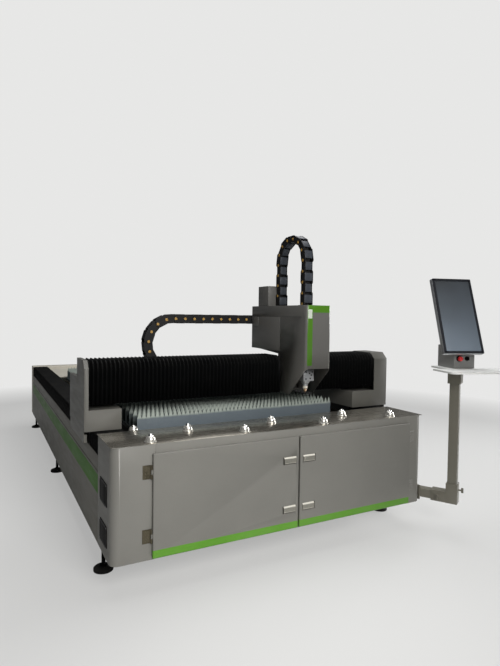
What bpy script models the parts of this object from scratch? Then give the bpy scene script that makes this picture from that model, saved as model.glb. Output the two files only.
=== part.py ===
"""Flatbed fibre laser cutting machine with its control cabinet, gantry, cutting head and operator console.

Lengths are in metres. Inside this file a point is given from the bed's front left corner on the floor:
x runs to the right along the cabinet, y runs back along the bed and z is the height above the floor.
The empty "machine" then carries everything, so that the middle of the footprint is the origin.
"""

import math

import bmesh
import bpy
from mathutils import Matrix, Vector

# Overall sizes
ORIGIN_X = 1.3937
ORIGIN_Y = 2.1725
CLEAR = 0.0003
BED_WIDTH = 2.30
BED_REAR = 4.88
GROUND_GAP = 0.19
SHEET = 0.003

# Cabinet
CABINET_DEPTH = 0.337
CABINET_TOP = 0.841
CORNER_RADIUS = 0.05
STILE_WIDTH = 0.245
RIGHT_STILE_WIDTH = 0.155
TOP_OVERHANG = 0.035
TOP_RAIL_LOW = 0.775
RAIL_LAP = 0.010
FLOOR_LIP = 0.028
MULLION_WIDTH = 0.04
PARTITION_THICKNESS = 0.004
BALL_RADIUS = 0.016
BALL_UNIT_RADIUS = 0.030
BALL_UNIT_HEIGHT = 0.050
BALL_FLANGE = 0.005
BALL_COLUMNS = 4
BALL_ROW_FRONT = 0.06
BALL_ROW_REAR = 0.23
BALL_FRONT_START = 0.235
BALL_FRONT_END = 0.265
BALL_REAR_START = 0.525
BALL_PITCH = (BED_WIDTH - BALL_FRONT_START - BALL_FRONT_END) / (BALL_COLUMNS - 1)

# Doors
DOOR_THICKNESS = 0.020
DOOR_STANDOFF = 0.002
DOOR_LOW = 0.202
DOOR_HIGH = 0.791
DOOR_LEFT_START = 0.229
DOOR_RIGHT_MARGIN = 0.139
DOOR_GAP = 0.012
DOOR_WIDTH = (BED_WIDTH - DOOR_LEFT_START - DOOR_RIGHT_MARGIN - DOOR_GAP) / 2
MULLION_X = DOOR_LEFT_START + DOOR_WIDTH + DOOR_GAP / 2
DOOR_EDGE = 0.003
HINGE_HEIGHT = 0.078
HINGE_UPPER = 0.688
HINGE_LOWER = 0.327
HINGE_RADIUS = 0.005
HINGE_PIN = 0.002
HINGE_OFFSET = 0.0055
HINGE_LEAF_WIDTH = 0.050
HINGE_LEAF_THICKNESS = 0.003
LATCH_LENGTH = 0.094
LATCH_HEIGHT = 0.046
LATCH_UPPER = 0.645
LATCH_LOWER = 0.331
LATCH_EDGE_GAP = 0.021
LATCH_POCKET = 0.013
LATCH_PADDLE = 0.004
LATCH_PIVOT = 0.008
LATCH_PIN = 0.0045
LATCH_FIT = 0.001
LATCH_SWING = 0.0035

# Cabinet contents
SOURCE_LEFT = 0.32
SOURCE_WIDTH = 0.49
SOURCE_HEIGHT = 0.237
SOURCE_FRONT = 0.03
SOURCE_REAR_GAP = 0.012
HANDLE_INSET = 0.03
HANDLE_WIDTH = 0.012
HANDLE_LOW = 0.06
HANDLE_HEIGHT = 0.12
HANDLE_REACH = 0.018
RACK_OFFSET = 0.105
RACK_RIGHT_MARGIN = 0.20
RACK_TOP = 0.76
RACK_THICKNESS = 0.006
RACK_EDGE = 0.06
DRIVE_COUNT = 5
DRIVE_DEPTH = 0.17
DRIVE_BASE = 0.48
DRIVE_HEIGHT = 0.22
SUPPLY_DEPTH = 0.14
SUPPLY_LOW = 0.26
SUPPLY_HEIGHT = 0.14
TERMINALS_DEPTH = 0.06
TERMINALS_LOW = 0.30
TERMINALS_HEIGHT = 0.05

# Vent grilles
GRILLE_FRONT = 0.088
GRILLE_WIDTH = 0.180
GRILLE_UPPER_LOW = 0.487
GRILLE_UPPER_HEIGHT = 0.132
GRILLE_LOWER_LOW = 0.257
GRILLE_LOWER_HEIGHT = 0.123
GRILLE_THICKNESS = 0.004
GRILLE_RIM = 0.014
GRILLE_SLOTS = 7

# Bed
BEAM_WIDTH = 0.20
BED_TOP = 0.715
LEDGE_HEIGHT = 0.619
LEDGE_STEP = 0.004
FRONT_BEAM_DEPTH = 0.115
FRONT_BEAM_TOP = 0.822
REAR_BEAM_DEPTH = 0.18
REAR_BEAM_TOP = 0.835
DECK_START = 3.72
DECK_TOP = 0.80
DECK_THICKNESS = 0.01
SLAG_TRAY_HEIGHT = 0.30
SLAG_TRAY_THICKNESS = 0.006

# Feet
FOOT_PAD_RADIUS = 0.06
FOOT_PAD_HEIGHT = 0.022
FOOT_STEM_RADIUS = 0.013
FOOT_NUT_RADIUS = 0.026
FOOT_NUT_HEIGHT = 0.022
FOOT_INSET = 0.045
FOOT_FRONT = CABINET_DEPTH + 0.048
FOOT_MIDDLE = 2.55
FOOT_REAR = 4.72

# Slat table
SLAT_LEFT = 0.270
SLAT_RIGHT = BED_WIDTH - 0.500
SLAT_FRONT = CABINET_DEPTH + FRONT_BEAM_DEPTH + 0.014
SLAT_PITCH = 0.15
SLAT_COUNT = 21
SLAT_THICKNESS = 0.004
SLAT_LOW = 0.790
SLAT_ROOT = 0.893
SLAT_TIP = 0.935
TOOTH_PITCH = 0.17
TABLE_RAIL_WIDTH = 0.012
TABLE_RAIL_TOP = 0.868
CROSS_MEMBER_FRONT = 1.30
CROSS_MEMBER_PITCH = 1.45
CROSS_MEMBER_DEPTH = 0.08
CROSS_MEMBER_LOW = 0.62

# Rails and their covers
RAIL_INSET = 0.095
RAIL_WIDTH = 0.030
RAIL_HEIGHT = 0.030
RAIL_BELLOWS_WIDTH = 0.186
RAIL_BELLOWS_TOP = 0.832
RAIL_BELLOWS_PLEAT = 0.012
REAR_BELLOWS_PITCH = 0.25
FRONT_BELLOWS_PITCH = 0.045
BELLOWS_WALL = 0.002
BELLOWS_SEAT = 0.0012
REAR_BELLOWS_SEAT = 0.0006

# Gantry
GANTRY_FRONT = CABINET_DEPTH + FRONT_BEAM_DEPTH - 0.002
GANTRY_DEPTH = 0.56
COVER_OUT = 0.06
COVER_CHAMFER = 0.05
COVER_TOP = 1.275
COVER_REAR_TOP = 1.145
COVER_UPPER_DEPTH = 0.266
COVER_LOW = 0.84
COVER_SKIRT_LOW = 0.77
COVER_SKIRT_WIDTH = 0.02
COVER_LEFT_WIDTH = 0.026
COVER_RIGHT_WIDTH = 0.133
FOOT_BOX_TOP = 0.97
FOOT_BOX_LEFT = 0.227
FOOT_BOX_RIGHT = 0.356
FOOT_BOX_SHELF = 0.165
BEAM_FRONT = GANTRY_FRONT + 0.07
BEAM_DEPTH = 0.190
BEAM_LOW = 1.02
BEAM_HIGH = 1.25
CROSS_RAIL = 0.02
CROSS_RAIL_INSET = 0.04
CROSS_RAIL_HEIGHTS = (1.06, 1.19)
SHELF_THICKNESS = 0.008
SHELF_REAR = GANTRY_FRONT + 0.548
SHELF_LIP = 0.02
SHELF_GAP = 0.004
SADDLE_INSET = 0.035
SADDLE_WIDTH = 0.12
SADDLE_FRONT = GANTRY_FRONT + 0.17
SADDLE_DEPTH = 0.36
DRIVE_RADIUS = 0.045
DRIVE_TOP = 1.095
BEAM_BELLOWS_LOW = 1.0
BEAM_BELLOWS_SETBACK = 0.01
BEAM_BELLOWS_REAR = GANTRY_FRONT + 0.25
BEAM_BELLOWS_PLEAT = 0.018
BEAM_BELLOWS_PITCH = 0.055

# Cutting head
HEAD_LEFT = 1.334
HEAD_WIDTH = 0.206
HEAD_FRONT = GANTRY_FRONT - 0.32
HEAD_REAR = GANTRY_FRONT + 0.46
HEAD_TOP = 1.64
HEAD_FACE_LOW = 1.203
HEAD_PLATE_LOW = 1.005
HEAD_PLATE_FRONT = GANTRY_FRONT - 0.114
HEAD_PLATE_REAR = GANTRY_FRONT + 0.005
HEAD_OVER_FRONT = 1.295
HEAD_OVER_REAR = 1.31
HEAD_SHEET = 0.002
BRACKET_WIDTH = 0.146
BRACKET_FRONT = GANTRY_FRONT + 0.202
BRACKET_DEPTH = 0.157
BRACKET_TOP = 1.793
CARRIAGE_THICKNESS = 0.0394
CARRIAGE_LOW = 1.01
CARRIAGE_TOP = 1.478
CARRIAGE_SHELF = 0.0147
CARRIAGE_SHELF_LOW = 1.2853
LIFT_RAIL_WIDTH = 0.015
LIFT_RAIL_DEPTH = 0.020
LIFT_RAIL_INSET = 0.040
SCREW_RADIUS = 0.008
SCREW_FORWARD = 0.015
LIFT_MOTOR = 0.064
LIFT_MOTOR_HEIGHT = 0.12
MOTOR_LAP = 0.005
SLIDE_WIDTH = 0.135
SLIDE_THICKNESS = 0.025
SLIDE_LOW = 1.12
SLIDE_TOP = 1.415
LENS_AXIS_Y = GANTRY_FRONT - 0.165
WINDOW_BLOCK = 0.088
WINDOW_HEIGHT = 0.065
NOZZLE_TIP = 1.02
NOSE_HEIGHT = 0.12
FOCUS_RADIUS = 0.036
FOCUS_HEIGHT = 0.09
COLLIMATOR = 0.080
COLLIMATOR_HEIGHT = 0.10
HEAD_LAP = 0.010
FIBRE_RADIUS = 0.022
FIBRE_DROP = 0.015
MOUNT_WIDTH = 0.075
MOUNT_LOW = 1.205
MOUNT_HEIGHT = 0.12
SHOE_WIDTH = 0.020
SHOE_HEIGHT = 0.07
NUT_WIDTH = 0.044
NUT_LOW = 1.20
NUT_HEIGHT = 0.05
CROSS_MOTOR_WIDTH = 0.09
CROSS_MOTOR_FRONT = GANTRY_FRONT + 0.13
CROSS_MOTOR_DEPTH = 0.10
CROSS_MOTOR_HEIGHT = 0.14

# Cable chains
CHAIN_WIDTH = 0.075
CHAIN_PLATE = 0.006
HEAD_CHAIN_THICKNESS = 0.052
HEAD_CHAIN_RADIUS = 0.168
HEAD_CHAIN_CENTRE_Y = GANTRY_FRONT + 0.006
HEAD_CHAIN_CENTRE_Z = 1.962
HEAD_CHAIN_LINKS = 18
BEAM_CHAIN_THICKNESS = 0.071
BEAM_CHAIN_RADIUS = 0.1875
BEAM_CHAIN_FRONT = GANTRY_FRONT + 0.465
BEAM_CHAIN_TURN_X = 0.663
BEAM_CHAIN_TOP_Z = 1.5325
BEAM_CHAIN_MOVING_END = 1.36
BEAM_CHAIN_FIXED_END = 0.95
BEAM_CHAIN_LINKS = 21
CHAIN_CLAMP = 0.03

# Operator console. Its head is turned about the post, and sizes there start from the post's middle.
CONSOLE_TURN = math.radians(-60)
CONSOLE_X = BED_WIDTH + 0.147
CONSOLE_Y = -0.168
TUBE = 0.066
TUBE_WALL = 0.003
ARM_LOW = 0.217
SOCKET_WALL = 0.007
SOCKET_TOP = 0.355
SOCKET_LENGTH = 0.105
SOCKET_FIT = 0.0004
POST_TOP = 1.15
COLLAR_WALL = 0.012
COLLAR_LENGTH = 0.06
HEAD_TURN = math.radians(-18)
TRAY_LEFT = -0.179
TRAY_WIDTH = 0.600
TRAY_FRONT = -0.260
TRAY_CORNER = 0.040
TRAY_LOW = 1.185
TRAY_THICKNESS = 0.012
TRAY_TAIL_LEFT = -0.065
TRAY_TAIL_WIDTH = 0.225
PANEL_BOX_LEFT = -0.012
PANEL_BOX_WIDTH = 0.165
PANEL_BOX_FRONT = 0.003
PANEL_BOX_DEPTH = 0.220
PANEL_BOX_HEIGHT = 0.165
MONITOR_LEFT = -0.138
MONITOR_WIDTH = 0.315
MONITOR_HEIGHT = 0.585
MONITOR_THICKNESS = 0.040
MONITOR_FRONT = -0.080
MONITOR_LOW = 1.312
MONITOR_LEAN = math.radians(-20)
MONITOR_BEZEL = 0.018
SCREEN_DEPTH = 0.003
STAND_WIDTH = 0.100
STAND_DEPTH = 0.040
STAND_HEIGHT = 0.140
STOP_OFFSET = 0.026
STOP_RADIUS = 0.019
STOP_STEM = 0.009
STOP_TRAVEL = 0.006
KEY_OFFSET = 0.090
KEY_RADIUS = 0.012
BUTTON_RISE = 0.073

FINISHES = {
    "grey_paint": ((0.20, 0.20, 0.185), 0.0, 0.45),
    "dark_paint": ((0.035, 0.034, 0.032), 0.0, 0.5),
    "pale_paint": ((0.50, 0.48, 0.43), 0.0, 0.5),
    "stainless": ((0.62, 0.61, 0.58), 1.0, 0.28),
    "chrome": ((0.80, 0.80, 0.80), 1.0, 0.12),
    "galvanised": ((0.36, 0.40, 0.42), 0.9, 0.5),
    "machined": ((0.60, 0.60, 0.60), 1.0, 0.35),
    "black_plastic": ((0.018, 0.018, 0.020), 0.0, 0.6),
    "black_cloth": ((0.010, 0.010, 0.012), 0.0, 0.8),
    "rubber": ((0.020, 0.020, 0.020), 0.0, 0.85),
    "silver": ((0.55, 0.56, 0.58), 0.8, 0.35),
    "white_paint": ((0.70, 0.70, 0.68), 0.0, 0.4),
    "red_plastic": ((0.60, 0.02, 0.02), 0.0, 0.35),
}

for old in list(bpy.data.objects):
    bpy.data.objects.remove(old)

parts = bpy.data.collections.new("fiber_laser_cutting_machine")
cutters = bpy.data.collections.new("cutters")
bpy.context.scene.collection.children.link(parts)
bpy.context.scene.collection.children.link(cutters)


def finish(name):
    """The Principled BSDF material of that name, made once."""
    material = bpy.data.materials.get(name)
    if material is None:
        colour, metallic, roughness = FINISHES[name]
        material = bpy.data.materials.new(name)
        material.use_nodes = True
        shader = material.node_tree.nodes["Principled BSDF"]
        shader.inputs["Base Color"].default_value = (*colour, 1.0)
        shader.inputs["Metallic"].default_value = metallic
        shader.inputs["Roughness"].default_value = roughness
    return material


def carrier(name, at, parent=None):
    """An empty at a joint's axis. What it carries moves with it."""
    empty = bpy.data.objects.new(name, None)
    empty.empty_display_size = 0.1
    empty["at"] = at
    parts.objects.link(empty)
    if parent is None:
        empty.location = at
        empty["at"] = (0.0, 0.0, 0.0)
    else:
        empty.parent = parent
        empty.location = Vector(at) - Vector(parent["at"])
    return empty


machine = carrier("machine", (-ORIGIN_X, -ORIGIN_Y, 0.0))


def add(name, mesh, at, material, on=machine):
    """Links a mesh as an object at a point of the machine, carried by an empty."""
    obj = bpy.data.objects.new(name, mesh)
    parts.objects.link(obj)
    mesh.materials.clear()
    mesh.materials.append(finish(material))
    obj.parent = on
    obj.location = Vector(at) - Vector(on["at"])
    return obj


def bevel(obj, width, segments=1):
    modifier = obj.modifiers.new("edges", "BEVEL")
    modifier.width = width
    modifier.segments = segments
    modifier.limit_method = "ANGLE"
    return obj


def box(name, low, high, material="grey_paint", on=machine, edge=0.0, turn=0.0):
    """A block between two corners, turned about its own middle if asked."""
    low, high = Vector(low), Vector(high)
    bm = bmesh.new()
    bmesh.ops.create_cube(bm, size=1.0)
    bmesh.ops.scale(bm, vec=high - low, verts=bm.verts)
    mesh = bpy.data.meshes.new(name)
    bm.to_mesh(mesh)
    bm.free()
    obj = add(name, mesh, (low + high) / 2, material, on)
    obj.rotation_euler.z = turn
    return bevel(obj, edge) if edge else obj


def cylinder(name, base, radius, length, axis="Z", material="machined", on=machine, sides=24, top=None):
    """A cylinder or cone that starts at base and runs along an axis."""
    bm = bmesh.new()
    bmesh.ops.create_cone(
        bm, cap_ends=True, segments=sides, radius1=radius, radius2=radius if top is None else top, depth=length
    )
    bmesh.ops.translate(bm, vec=(0, 0, length / 2), verts=bm.verts)
    turns = {"X": Matrix.Rotation(math.pi / 2, 3, "Y"), "Y": Matrix.Rotation(-math.pi / 2, 3, "X")}
    if axis in turns:
        bmesh.ops.rotate(bm, matrix=turns[axis], verts=bm.verts)
    mesh = bpy.data.meshes.new(name)
    bm.to_mesh(mesh)
    bm.free()
    obj = add(name, mesh, base, material, on)
    mesh.shade_smooth()
    mesh.set_sharp_from_angle(angle=math.radians(40))
    return obj


def turned(name, profile, at, material, on=machine, sides=24):
    """A shape turned about a vertical axis. Its profile runs down the outer side, from the axis to the axis."""
    mesh = bpy.data.meshes.new(name)
    points = [(radius, 0.0, height) for radius, height in profile]
    mesh.from_pydata(points, [(i, i + 1) for i in range(len(points) - 1)], [])
    obj = add(name, mesh, at, material, on)
    screw = obj.modifiers.new("turn", "SCREW")
    screw.steps = sides
    screw.render_steps = sides
    screw.use_merge_vertices = True
    screw.merge_threshold = 0.00001
    return obj


# Each plane's first two axes hold the outline, and the outline is drawn out along the third.
PLANES = {
    "XY": Matrix.Identity(3),
    "XZ": Matrix(((1, 0, 0), (0, 0, -1), (0, 1, 0))),
    "YZ": Matrix(((0, 0, 1), (1, 0, 0), (0, 1, 0))),
}


def outline(name, points, plane, start, end, material="grey_paint", on=machine):
    """A flat outline in one plane, drawn out from start to end across that plane, as a welded mesh."""
    curve = bpy.data.curves.new(name, "CURVE")
    curve.dimensions = "2D"
    curve.fill_mode = "BOTH"
    curve.extrude = abs(end - start) / 2
    spline = curve.splines.new("POLY")
    spline.points.add(len(points) - 1)
    for point, (u, v) in zip(spline.points, points):
        point.co = (u, v, 0.0, 1.0)
    spline.use_cyclic_u = True
    draft = bpy.data.objects.new(name, curve)
    cutters.objects.link(draft)
    mesh = bpy.data.meshes.new_from_object(draft.evaluated_get(bpy.context.evaluated_depsgraph_get()))
    bpy.data.objects.remove(draft)
    bpy.data.curves.remove(curve)
    bm = bmesh.new()
    bm.from_mesh(mesh)
    bmesh.ops.remove_doubles(bm, verts=bm.verts, dist=0.00001)
    bmesh.ops.rotate(bm, matrix=PLANES[plane], verts=bm.verts)
    bmesh.ops.recalc_face_normals(bm, faces=bm.faces)
    bm.to_mesh(mesh)
    bm.free()
    mesh.name = name
    middle = (start + end) / 2
    at = {"XY": (0, 0, middle), "XZ": (0, middle, 0), "YZ": (middle, 0, 0)}[plane]
    return add(name, mesh, at, material, on)


def combine(body, pieces, operation):
    """Joins or cuts hidden pieces with a Boolean each."""
    for piece in pieces:
        modifier = body.modifiers.new(piece.name, "BOOLEAN")
        modifier.operation = operation
        modifier.object = piece
        parts.objects.unlink(piece)
        cutters.objects.link(piece)
        piece.hide_render = True
        piece.display_type = "WIRE"
    return body


def join(body, *pieces):
    return combine(body, pieces, "UNION")


def cut(body, *pieces):
    return combine(body, pieces, "DIFFERENCE")


def repeat(obj, count, step):
    """Copies along a line at an even step."""
    array = obj.modifiers.new("copies", "ARRAY")
    array.count = count
    array.use_relative_offset = False
    array.use_constant_offset = True
    array.constant_offset_displace = step
    return obj


def folded_sheet(name, path, low, high, material="grey_paint", on=machine, inward=-1.0):
    """Sheet metal folded along a plan path and standing from low to high."""
    bm = bmesh.new()
    chain = [bm.verts.new((x, y, low)) for x, y in path]
    edges = [bm.edges.new(pair) for pair in zip(chain, chain[1:])]
    raised = bmesh.ops.extrude_edge_only(bm, edges=edges)
    top = [item for item in raised["geom"] if isinstance(item, bmesh.types.BMVert)]
    bmesh.ops.translate(bm, vec=(0, 0, high - low), verts=top)
    mesh = bpy.data.meshes.new(name)
    bm.to_mesh(mesh)
    bm.free()
    obj = add(name, mesh, (0, 0, 0), material, on)
    wall = obj.modifiers.new("wall", "SOLIDIFY")
    wall.thickness = SHEET
    wall.offset = inward
    wall.use_even_offset = True
    return obj


def arc(centre, radius, start, end, steps):
    """Points on an arc, with its angles in degrees."""
    found = []
    for i in range(steps + 1):
        angle = math.radians(start + (end - start) * i / steps)
        found.append((centre[0] + radius * math.cos(angle), centre[1] + radius * math.sin(angle)))
    return found


def mirror_x(points):
    """The same outline on the bed's other side."""
    return [(BED_WIDTH - x, y) for x, y in points]


# Cabinet


def cabinet_side(name, stile, flip):
    r = CORNER_RADIUS
    path = [(stile, 0.0), *arc((r, r), r, 270, 180, 6), (0.0, CABINET_DEPTH)]
    path = mirror_x(path) if flip else path
    side = folded_sheet(name, path, GROUND_GAP, CABINET_TOP - SHEET - CLEAR, inward=1.0 if flip else -1.0)
    return side


def ball_units(points, base, reach):
    """Ball transfer units: a flange, a cup and the ball that stands out of it, sunk into their plate by reach."""
    cup_top = BALL_UNIT_HEIGHT - BALL_RADIUS
    cup = BALL_UNIT_RADIUS * 0.8
    profile = [
        (0, BALL_UNIT_HEIGHT),
        (BALL_RADIUS * 0.8, cup_top + BALL_RADIUS * 0.6),
        (BALL_RADIUS, cup_top),
        (cup * 0.85, cup_top),
        (cup, BALL_FLANGE),
        (BALL_UNIT_RADIUS, BALL_FLANGE),
        (BALL_UNIT_RADIUS, -reach),
        (0, -reach),
    ]
    return [
        turned(f"ball_{round(1000 * x)}_{round(1000 * base)}", profile, (x, y, base), "chrome", sides=10)
        for x, y in points
    ]


def make_cabinet():
    left = cabinet_side("cabinet_left_panel", STILE_WIDTH, False)
    holes = [
        box(
            f"vent_hole_{low}",
            (-0.01, GRILLE_FRONT + GRILLE_RIM, low + GRILLE_RIM),
            (0.01, GRILLE_FRONT + GRILLE_WIDTH - GRILLE_RIM, low + height - GRILLE_RIM),
        )
        for low, height in ((GRILLE_UPPER_LOW, GRILLE_UPPER_HEIGHT), (GRILLE_LOWER_LOW, GRILLE_LOWER_HEIGHT))
    ]
    cut(left, *holes)
    cabinet_side("cabinet_right_panel", RIGHT_STILE_WIDTH, True)
    inside = SHEET + CLEAR
    bottom = [
        (SHEET + CLEAR, GROUND_GAP),
        (SHEET + CLEAR, GROUND_GAP + FLOOR_LIP),
        (inside + SHEET, GROUND_GAP + FLOOR_LIP),
        (inside + SHEET, GROUND_GAP + SHEET),
        (CABINET_DEPTH, GROUND_GAP + SHEET),
        (CABINET_DEPTH, GROUND_GAP),
    ]
    floor = outline("cabinet_floor", bottom, "YZ", CORNER_RADIUS, BED_WIDTH - CORNER_RADIUS)
    ends = (GROUND_GAP, GROUND_GAP + SHEET)
    for tag, low, high in (("left", inside, 0.06), ("right", BED_WIDTH - 0.06, BED_WIDTH - inside)):
        join(floor, box(f"floor_{tag}", (low, CORNER_RADIUS, ends[0]), (high, CABINET_DEPTH, ends[1])))
    rail_left = STILE_WIDTH + CLEAR
    rail_right = BED_WIDTH - RIGHT_STILE_WIDTH - CLEAR
    top = CABINET_TOP - SHEET - CLEAR
    rail = box("top_rail", (rail_left, 0, TOP_RAIL_LOW), (rail_right, SHEET, top))
    t_shape = [
        (MULLION_X - MULLION_WIDTH / 2, 0),
        (MULLION_X + MULLION_WIDTH / 2, 0),
        (MULLION_X + MULLION_WIDTH / 2, SHEET),
        (MULLION_X + PARTITION_THICKNESS / 2, SHEET),
        (MULLION_X + PARTITION_THICKNESS / 2, CABINET_DEPTH),
        (MULLION_X - PARTITION_THICKNESS / 2, CABINET_DEPTH),
        (MULLION_X - PARTITION_THICKNESS / 2, SHEET),
        (MULLION_X - MULLION_WIDTH / 2, SHEET),
    ]
    frame = outline("cabinet_frame", t_shape, "XY", GROUND_GAP + SHEET + CLEAR, TOP_RAIL_LOW + RAIL_LAP)
    lip = box(
        "partition_notch",
        (MULLION_X - 0.05, -0.01, GROUND_GAP),
        (MULLION_X + 0.05, inside + SHEET + CLEAR, GROUND_GAP + FLOOR_LIP + CLEAR),
    )
    join(frame, rail)
    cut(frame, lip)
    plate = box(
        "cabinet_top_plate",
        (0, 0, CABINET_TOP - SHEET),
        (BED_WIDTH, CABINET_DEPTH + TOP_OVERHANG, CABINET_TOP),
        "stainless",
    )
    places = [(BALL_FRONT_START + BALL_PITCH * i, BALL_ROW_FRONT) for i in range(BALL_COLUMNS)]
    places += [(BALL_REAR_START + BALL_PITCH * i, BALL_ROW_REAR) for i in range(BALL_COLUMNS - 1)]
    join(plate, *ball_units(places, CABINET_TOP, SHEET / 2))


def make_grille(name, low, height):
    face = -GRILLE_THICKNESS - CLEAR
    grille = box(
        name, (face, GRILLE_FRONT, low), (-CLEAR, GRILLE_FRONT + GRILLE_WIDTH, low + height), "black_plastic"
    )
    pitch = (height - 2 * GRILLE_RIM) / GRILLE_SLOTS
    slot_low = low + GRILLE_RIM + pitch * 0.2
    slot = box(
        f"{name}_slot",
        (-0.02, GRILLE_FRONT + GRILLE_RIM, slot_low),
        (0.02, GRILLE_FRONT + GRILLE_WIDTH - GRILLE_RIM, slot_low + pitch * 0.6),
    )
    repeat(slot, GRILLE_SLOTS, (0, 0, pitch))
    cut(grille, slot)


def make_cabinet_contents():
    """The laser source in the left bay and the drives on their mounting plate in the right one."""
    floor = GROUND_GAP + SHEET + CLEAR
    source_right = SOURCE_LEFT + SOURCE_WIDTH
    source = box(
        "laser_source",
        (SOURCE_LEFT, SOURCE_FRONT, floor),
        (source_right, CABINET_DEPTH - SOURCE_REAR_GAP, floor + SOURCE_HEIGHT),
        "silver",
        edge=0.004,
    )
    handles = [
        box(
            f"source_handle_{i}",
            (x, SOURCE_FRONT - HANDLE_REACH, floor + HANDLE_LOW),
            (x + HANDLE_WIDTH, SOURCE_FRONT + HANDLE_WIDTH, floor + HANDLE_LOW + HANDLE_HEIGHT),
        )
        for i, x in enumerate((SOURCE_LEFT + HANDLE_INSET, source_right - HANDLE_INSET - HANDLE_WIDTH))
    ]
    join(source, *handles)
    back = CABINET_DEPTH - CLEAR
    left, right = MULLION_X + RACK_OFFSET, BED_WIDTH - RACK_RIGHT_MARGIN
    rack = box("control_rack", (left, back - RACK_THICKNESS, floor), (right, back, RACK_TOP), "machined")
    first, last = left + RACK_EDGE, right - RACK_EDGE
    pitch = (last - first) / (DRIVE_COUNT + 1 / 2)
    rear = back - RACK_THICKNESS / 2

    def unit(name, start, end, depth, low, height):
        return box(name, (start, back - depth, low), (end, rear, low + height))

    drives = [
        unit(f"drive_{i}", first + pitch * i, first + pitch * (i + 2 / 3), DRIVE_DEPTH, DRIVE_BASE, DRIVE_HEIGHT)
        for i in range(DRIVE_COUNT)
    ]
    middle = (first + last) / 2
    supply = unit("supply", first, middle - RACK_EDGE, SUPPLY_DEPTH, SUPPLY_LOW, SUPPLY_HEIGHT)
    terminals = unit("terminals", middle, last, TERMINALS_DEPTH, TERMINALS_LOW, TERMINALS_HEIGHT)
    join(rack, *drives, supply, terminals)


# Doors


def hinge(tag, height, pivot_x, outward, door, door_carrier):
    """A butt hinge: a leaf with its pin on the frame, and the barrel that turns on it joined to the door."""
    axis_y = -DOOR_STANDOFF - DOOR_THICKNESS / 2
    low = height - HINGE_HEIGHT / 2
    third = HINGE_HEIGHT / 3
    inner = pivot_x + outward * 0.002
    outer = pivot_x + outward * HINGE_LEAF_WIDTH
    leaf = box(
        f"hinge_{tag}",
        (min(inner, outer), -HINGE_LEAF_THICKNESS - CLEAR, low),
        (max(inner, outer), -CLEAR, low + HINGE_HEIGHT),
        "stainless",
    )
    pieces = [cylinder(f"hinge_pin_{tag}", (pivot_x, axis_y, low + 0.001), HINGE_PIN, HINGE_HEIGHT - 0.002, sides=10)]
    for i, base in enumerate((low, low + 2 * third)):
        pieces.append(cylinder(f"hinge_knuckle_{tag}_{i}", (pivot_x, axis_y, base), HINGE_RADIUS, third, sides=12))
        web = (min(pivot_x, inner + outward * 0.004), axis_y, base)
        end = (max(pivot_x, inner + outward * 0.004), -HINGE_LEAF_THICKNESS / 2, base + third)
        pieces.append(box(f"hinge_web_{tag}_{i}", web, end))
    join(leaf, *pieces)
    gap = 0.0005
    barrel_low = low + third + gap
    length = third - 2 * gap
    tab_end = pivot_x - outward * (HINGE_OFFSET + DOOR_THICKNESS / 2)
    barrel = cylinder(f"barrel_{tag}", (pivot_x, axis_y, barrel_low), HINGE_RADIUS, length, on=door_carrier, sides=12)
    tab = box(
        f"barrel_tab_{tag}",
        (min(pivot_x, tab_end), axis_y - 0.003, barrel_low),
        (max(pivot_x, tab_end), axis_y + 0.003, barrel_low + length),
        on=door_carrier,
    )
    bore = cylinder(
        f"barrel_bore_{tag}", (pivot_x, axis_y, barrel_low - 0.01), HINGE_PIN + 0.0005, length + 0.02,
        on=door_carrier, sides=12,
    )
    join(door, tab, barrel)
    cut(door, bore)


def latch(name, centre_z, door, door_low_x, pivot_side, door_carrier):
    """A flush press-to-open handle. It turns on an upright pin at one end of its pocket in the door."""
    front = -DOOR_STANDOFF - DOOR_THICKNESS
    low = (door_low_x, front - 0.001, centre_z - LATCH_HEIGHT / 2)
    high = (door_low_x + LATCH_LENGTH, front + LATCH_PADDLE - 0.001, centre_z + LATCH_HEIGHT / 2)
    low_gap, high_gap = (LATCH_SWING, LATCH_FIT) if pivot_side < 0 else (LATCH_FIT, LATCH_SWING)
    pocket = box(
        f"{name}_pocket",
        (low[0] - low_gap, front - 0.01, low[2] - LATCH_FIT),
        (high[0] + high_gap, front + LATCH_POCKET, high[2] + LATCH_FIT),
        on=door_carrier,
    )
    cut(door, pocket)
    pivot_x = low[0] + LATCH_PIVOT if pivot_side < 0 else high[0] - LATCH_PIVOT
    pivot_y = front + 0.0065
    hub = carrier(f"{name}_pivot", (pivot_x, pivot_y, centre_z), door_carrier)
    paddle = box(name, low, high, "chrome", hub)
    pin_low = low[2] - LATCH_FIT + CLEAR
    pin_length = LATCH_HEIGHT + 2 * LATCH_FIT - 2 * CLEAR
    pin = cylinder(f"{name}_pin", (pivot_x, pivot_y, pin_low), LATCH_PIN, pin_length, on=hub, sides=12)
    join(paddle, pin)


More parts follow.
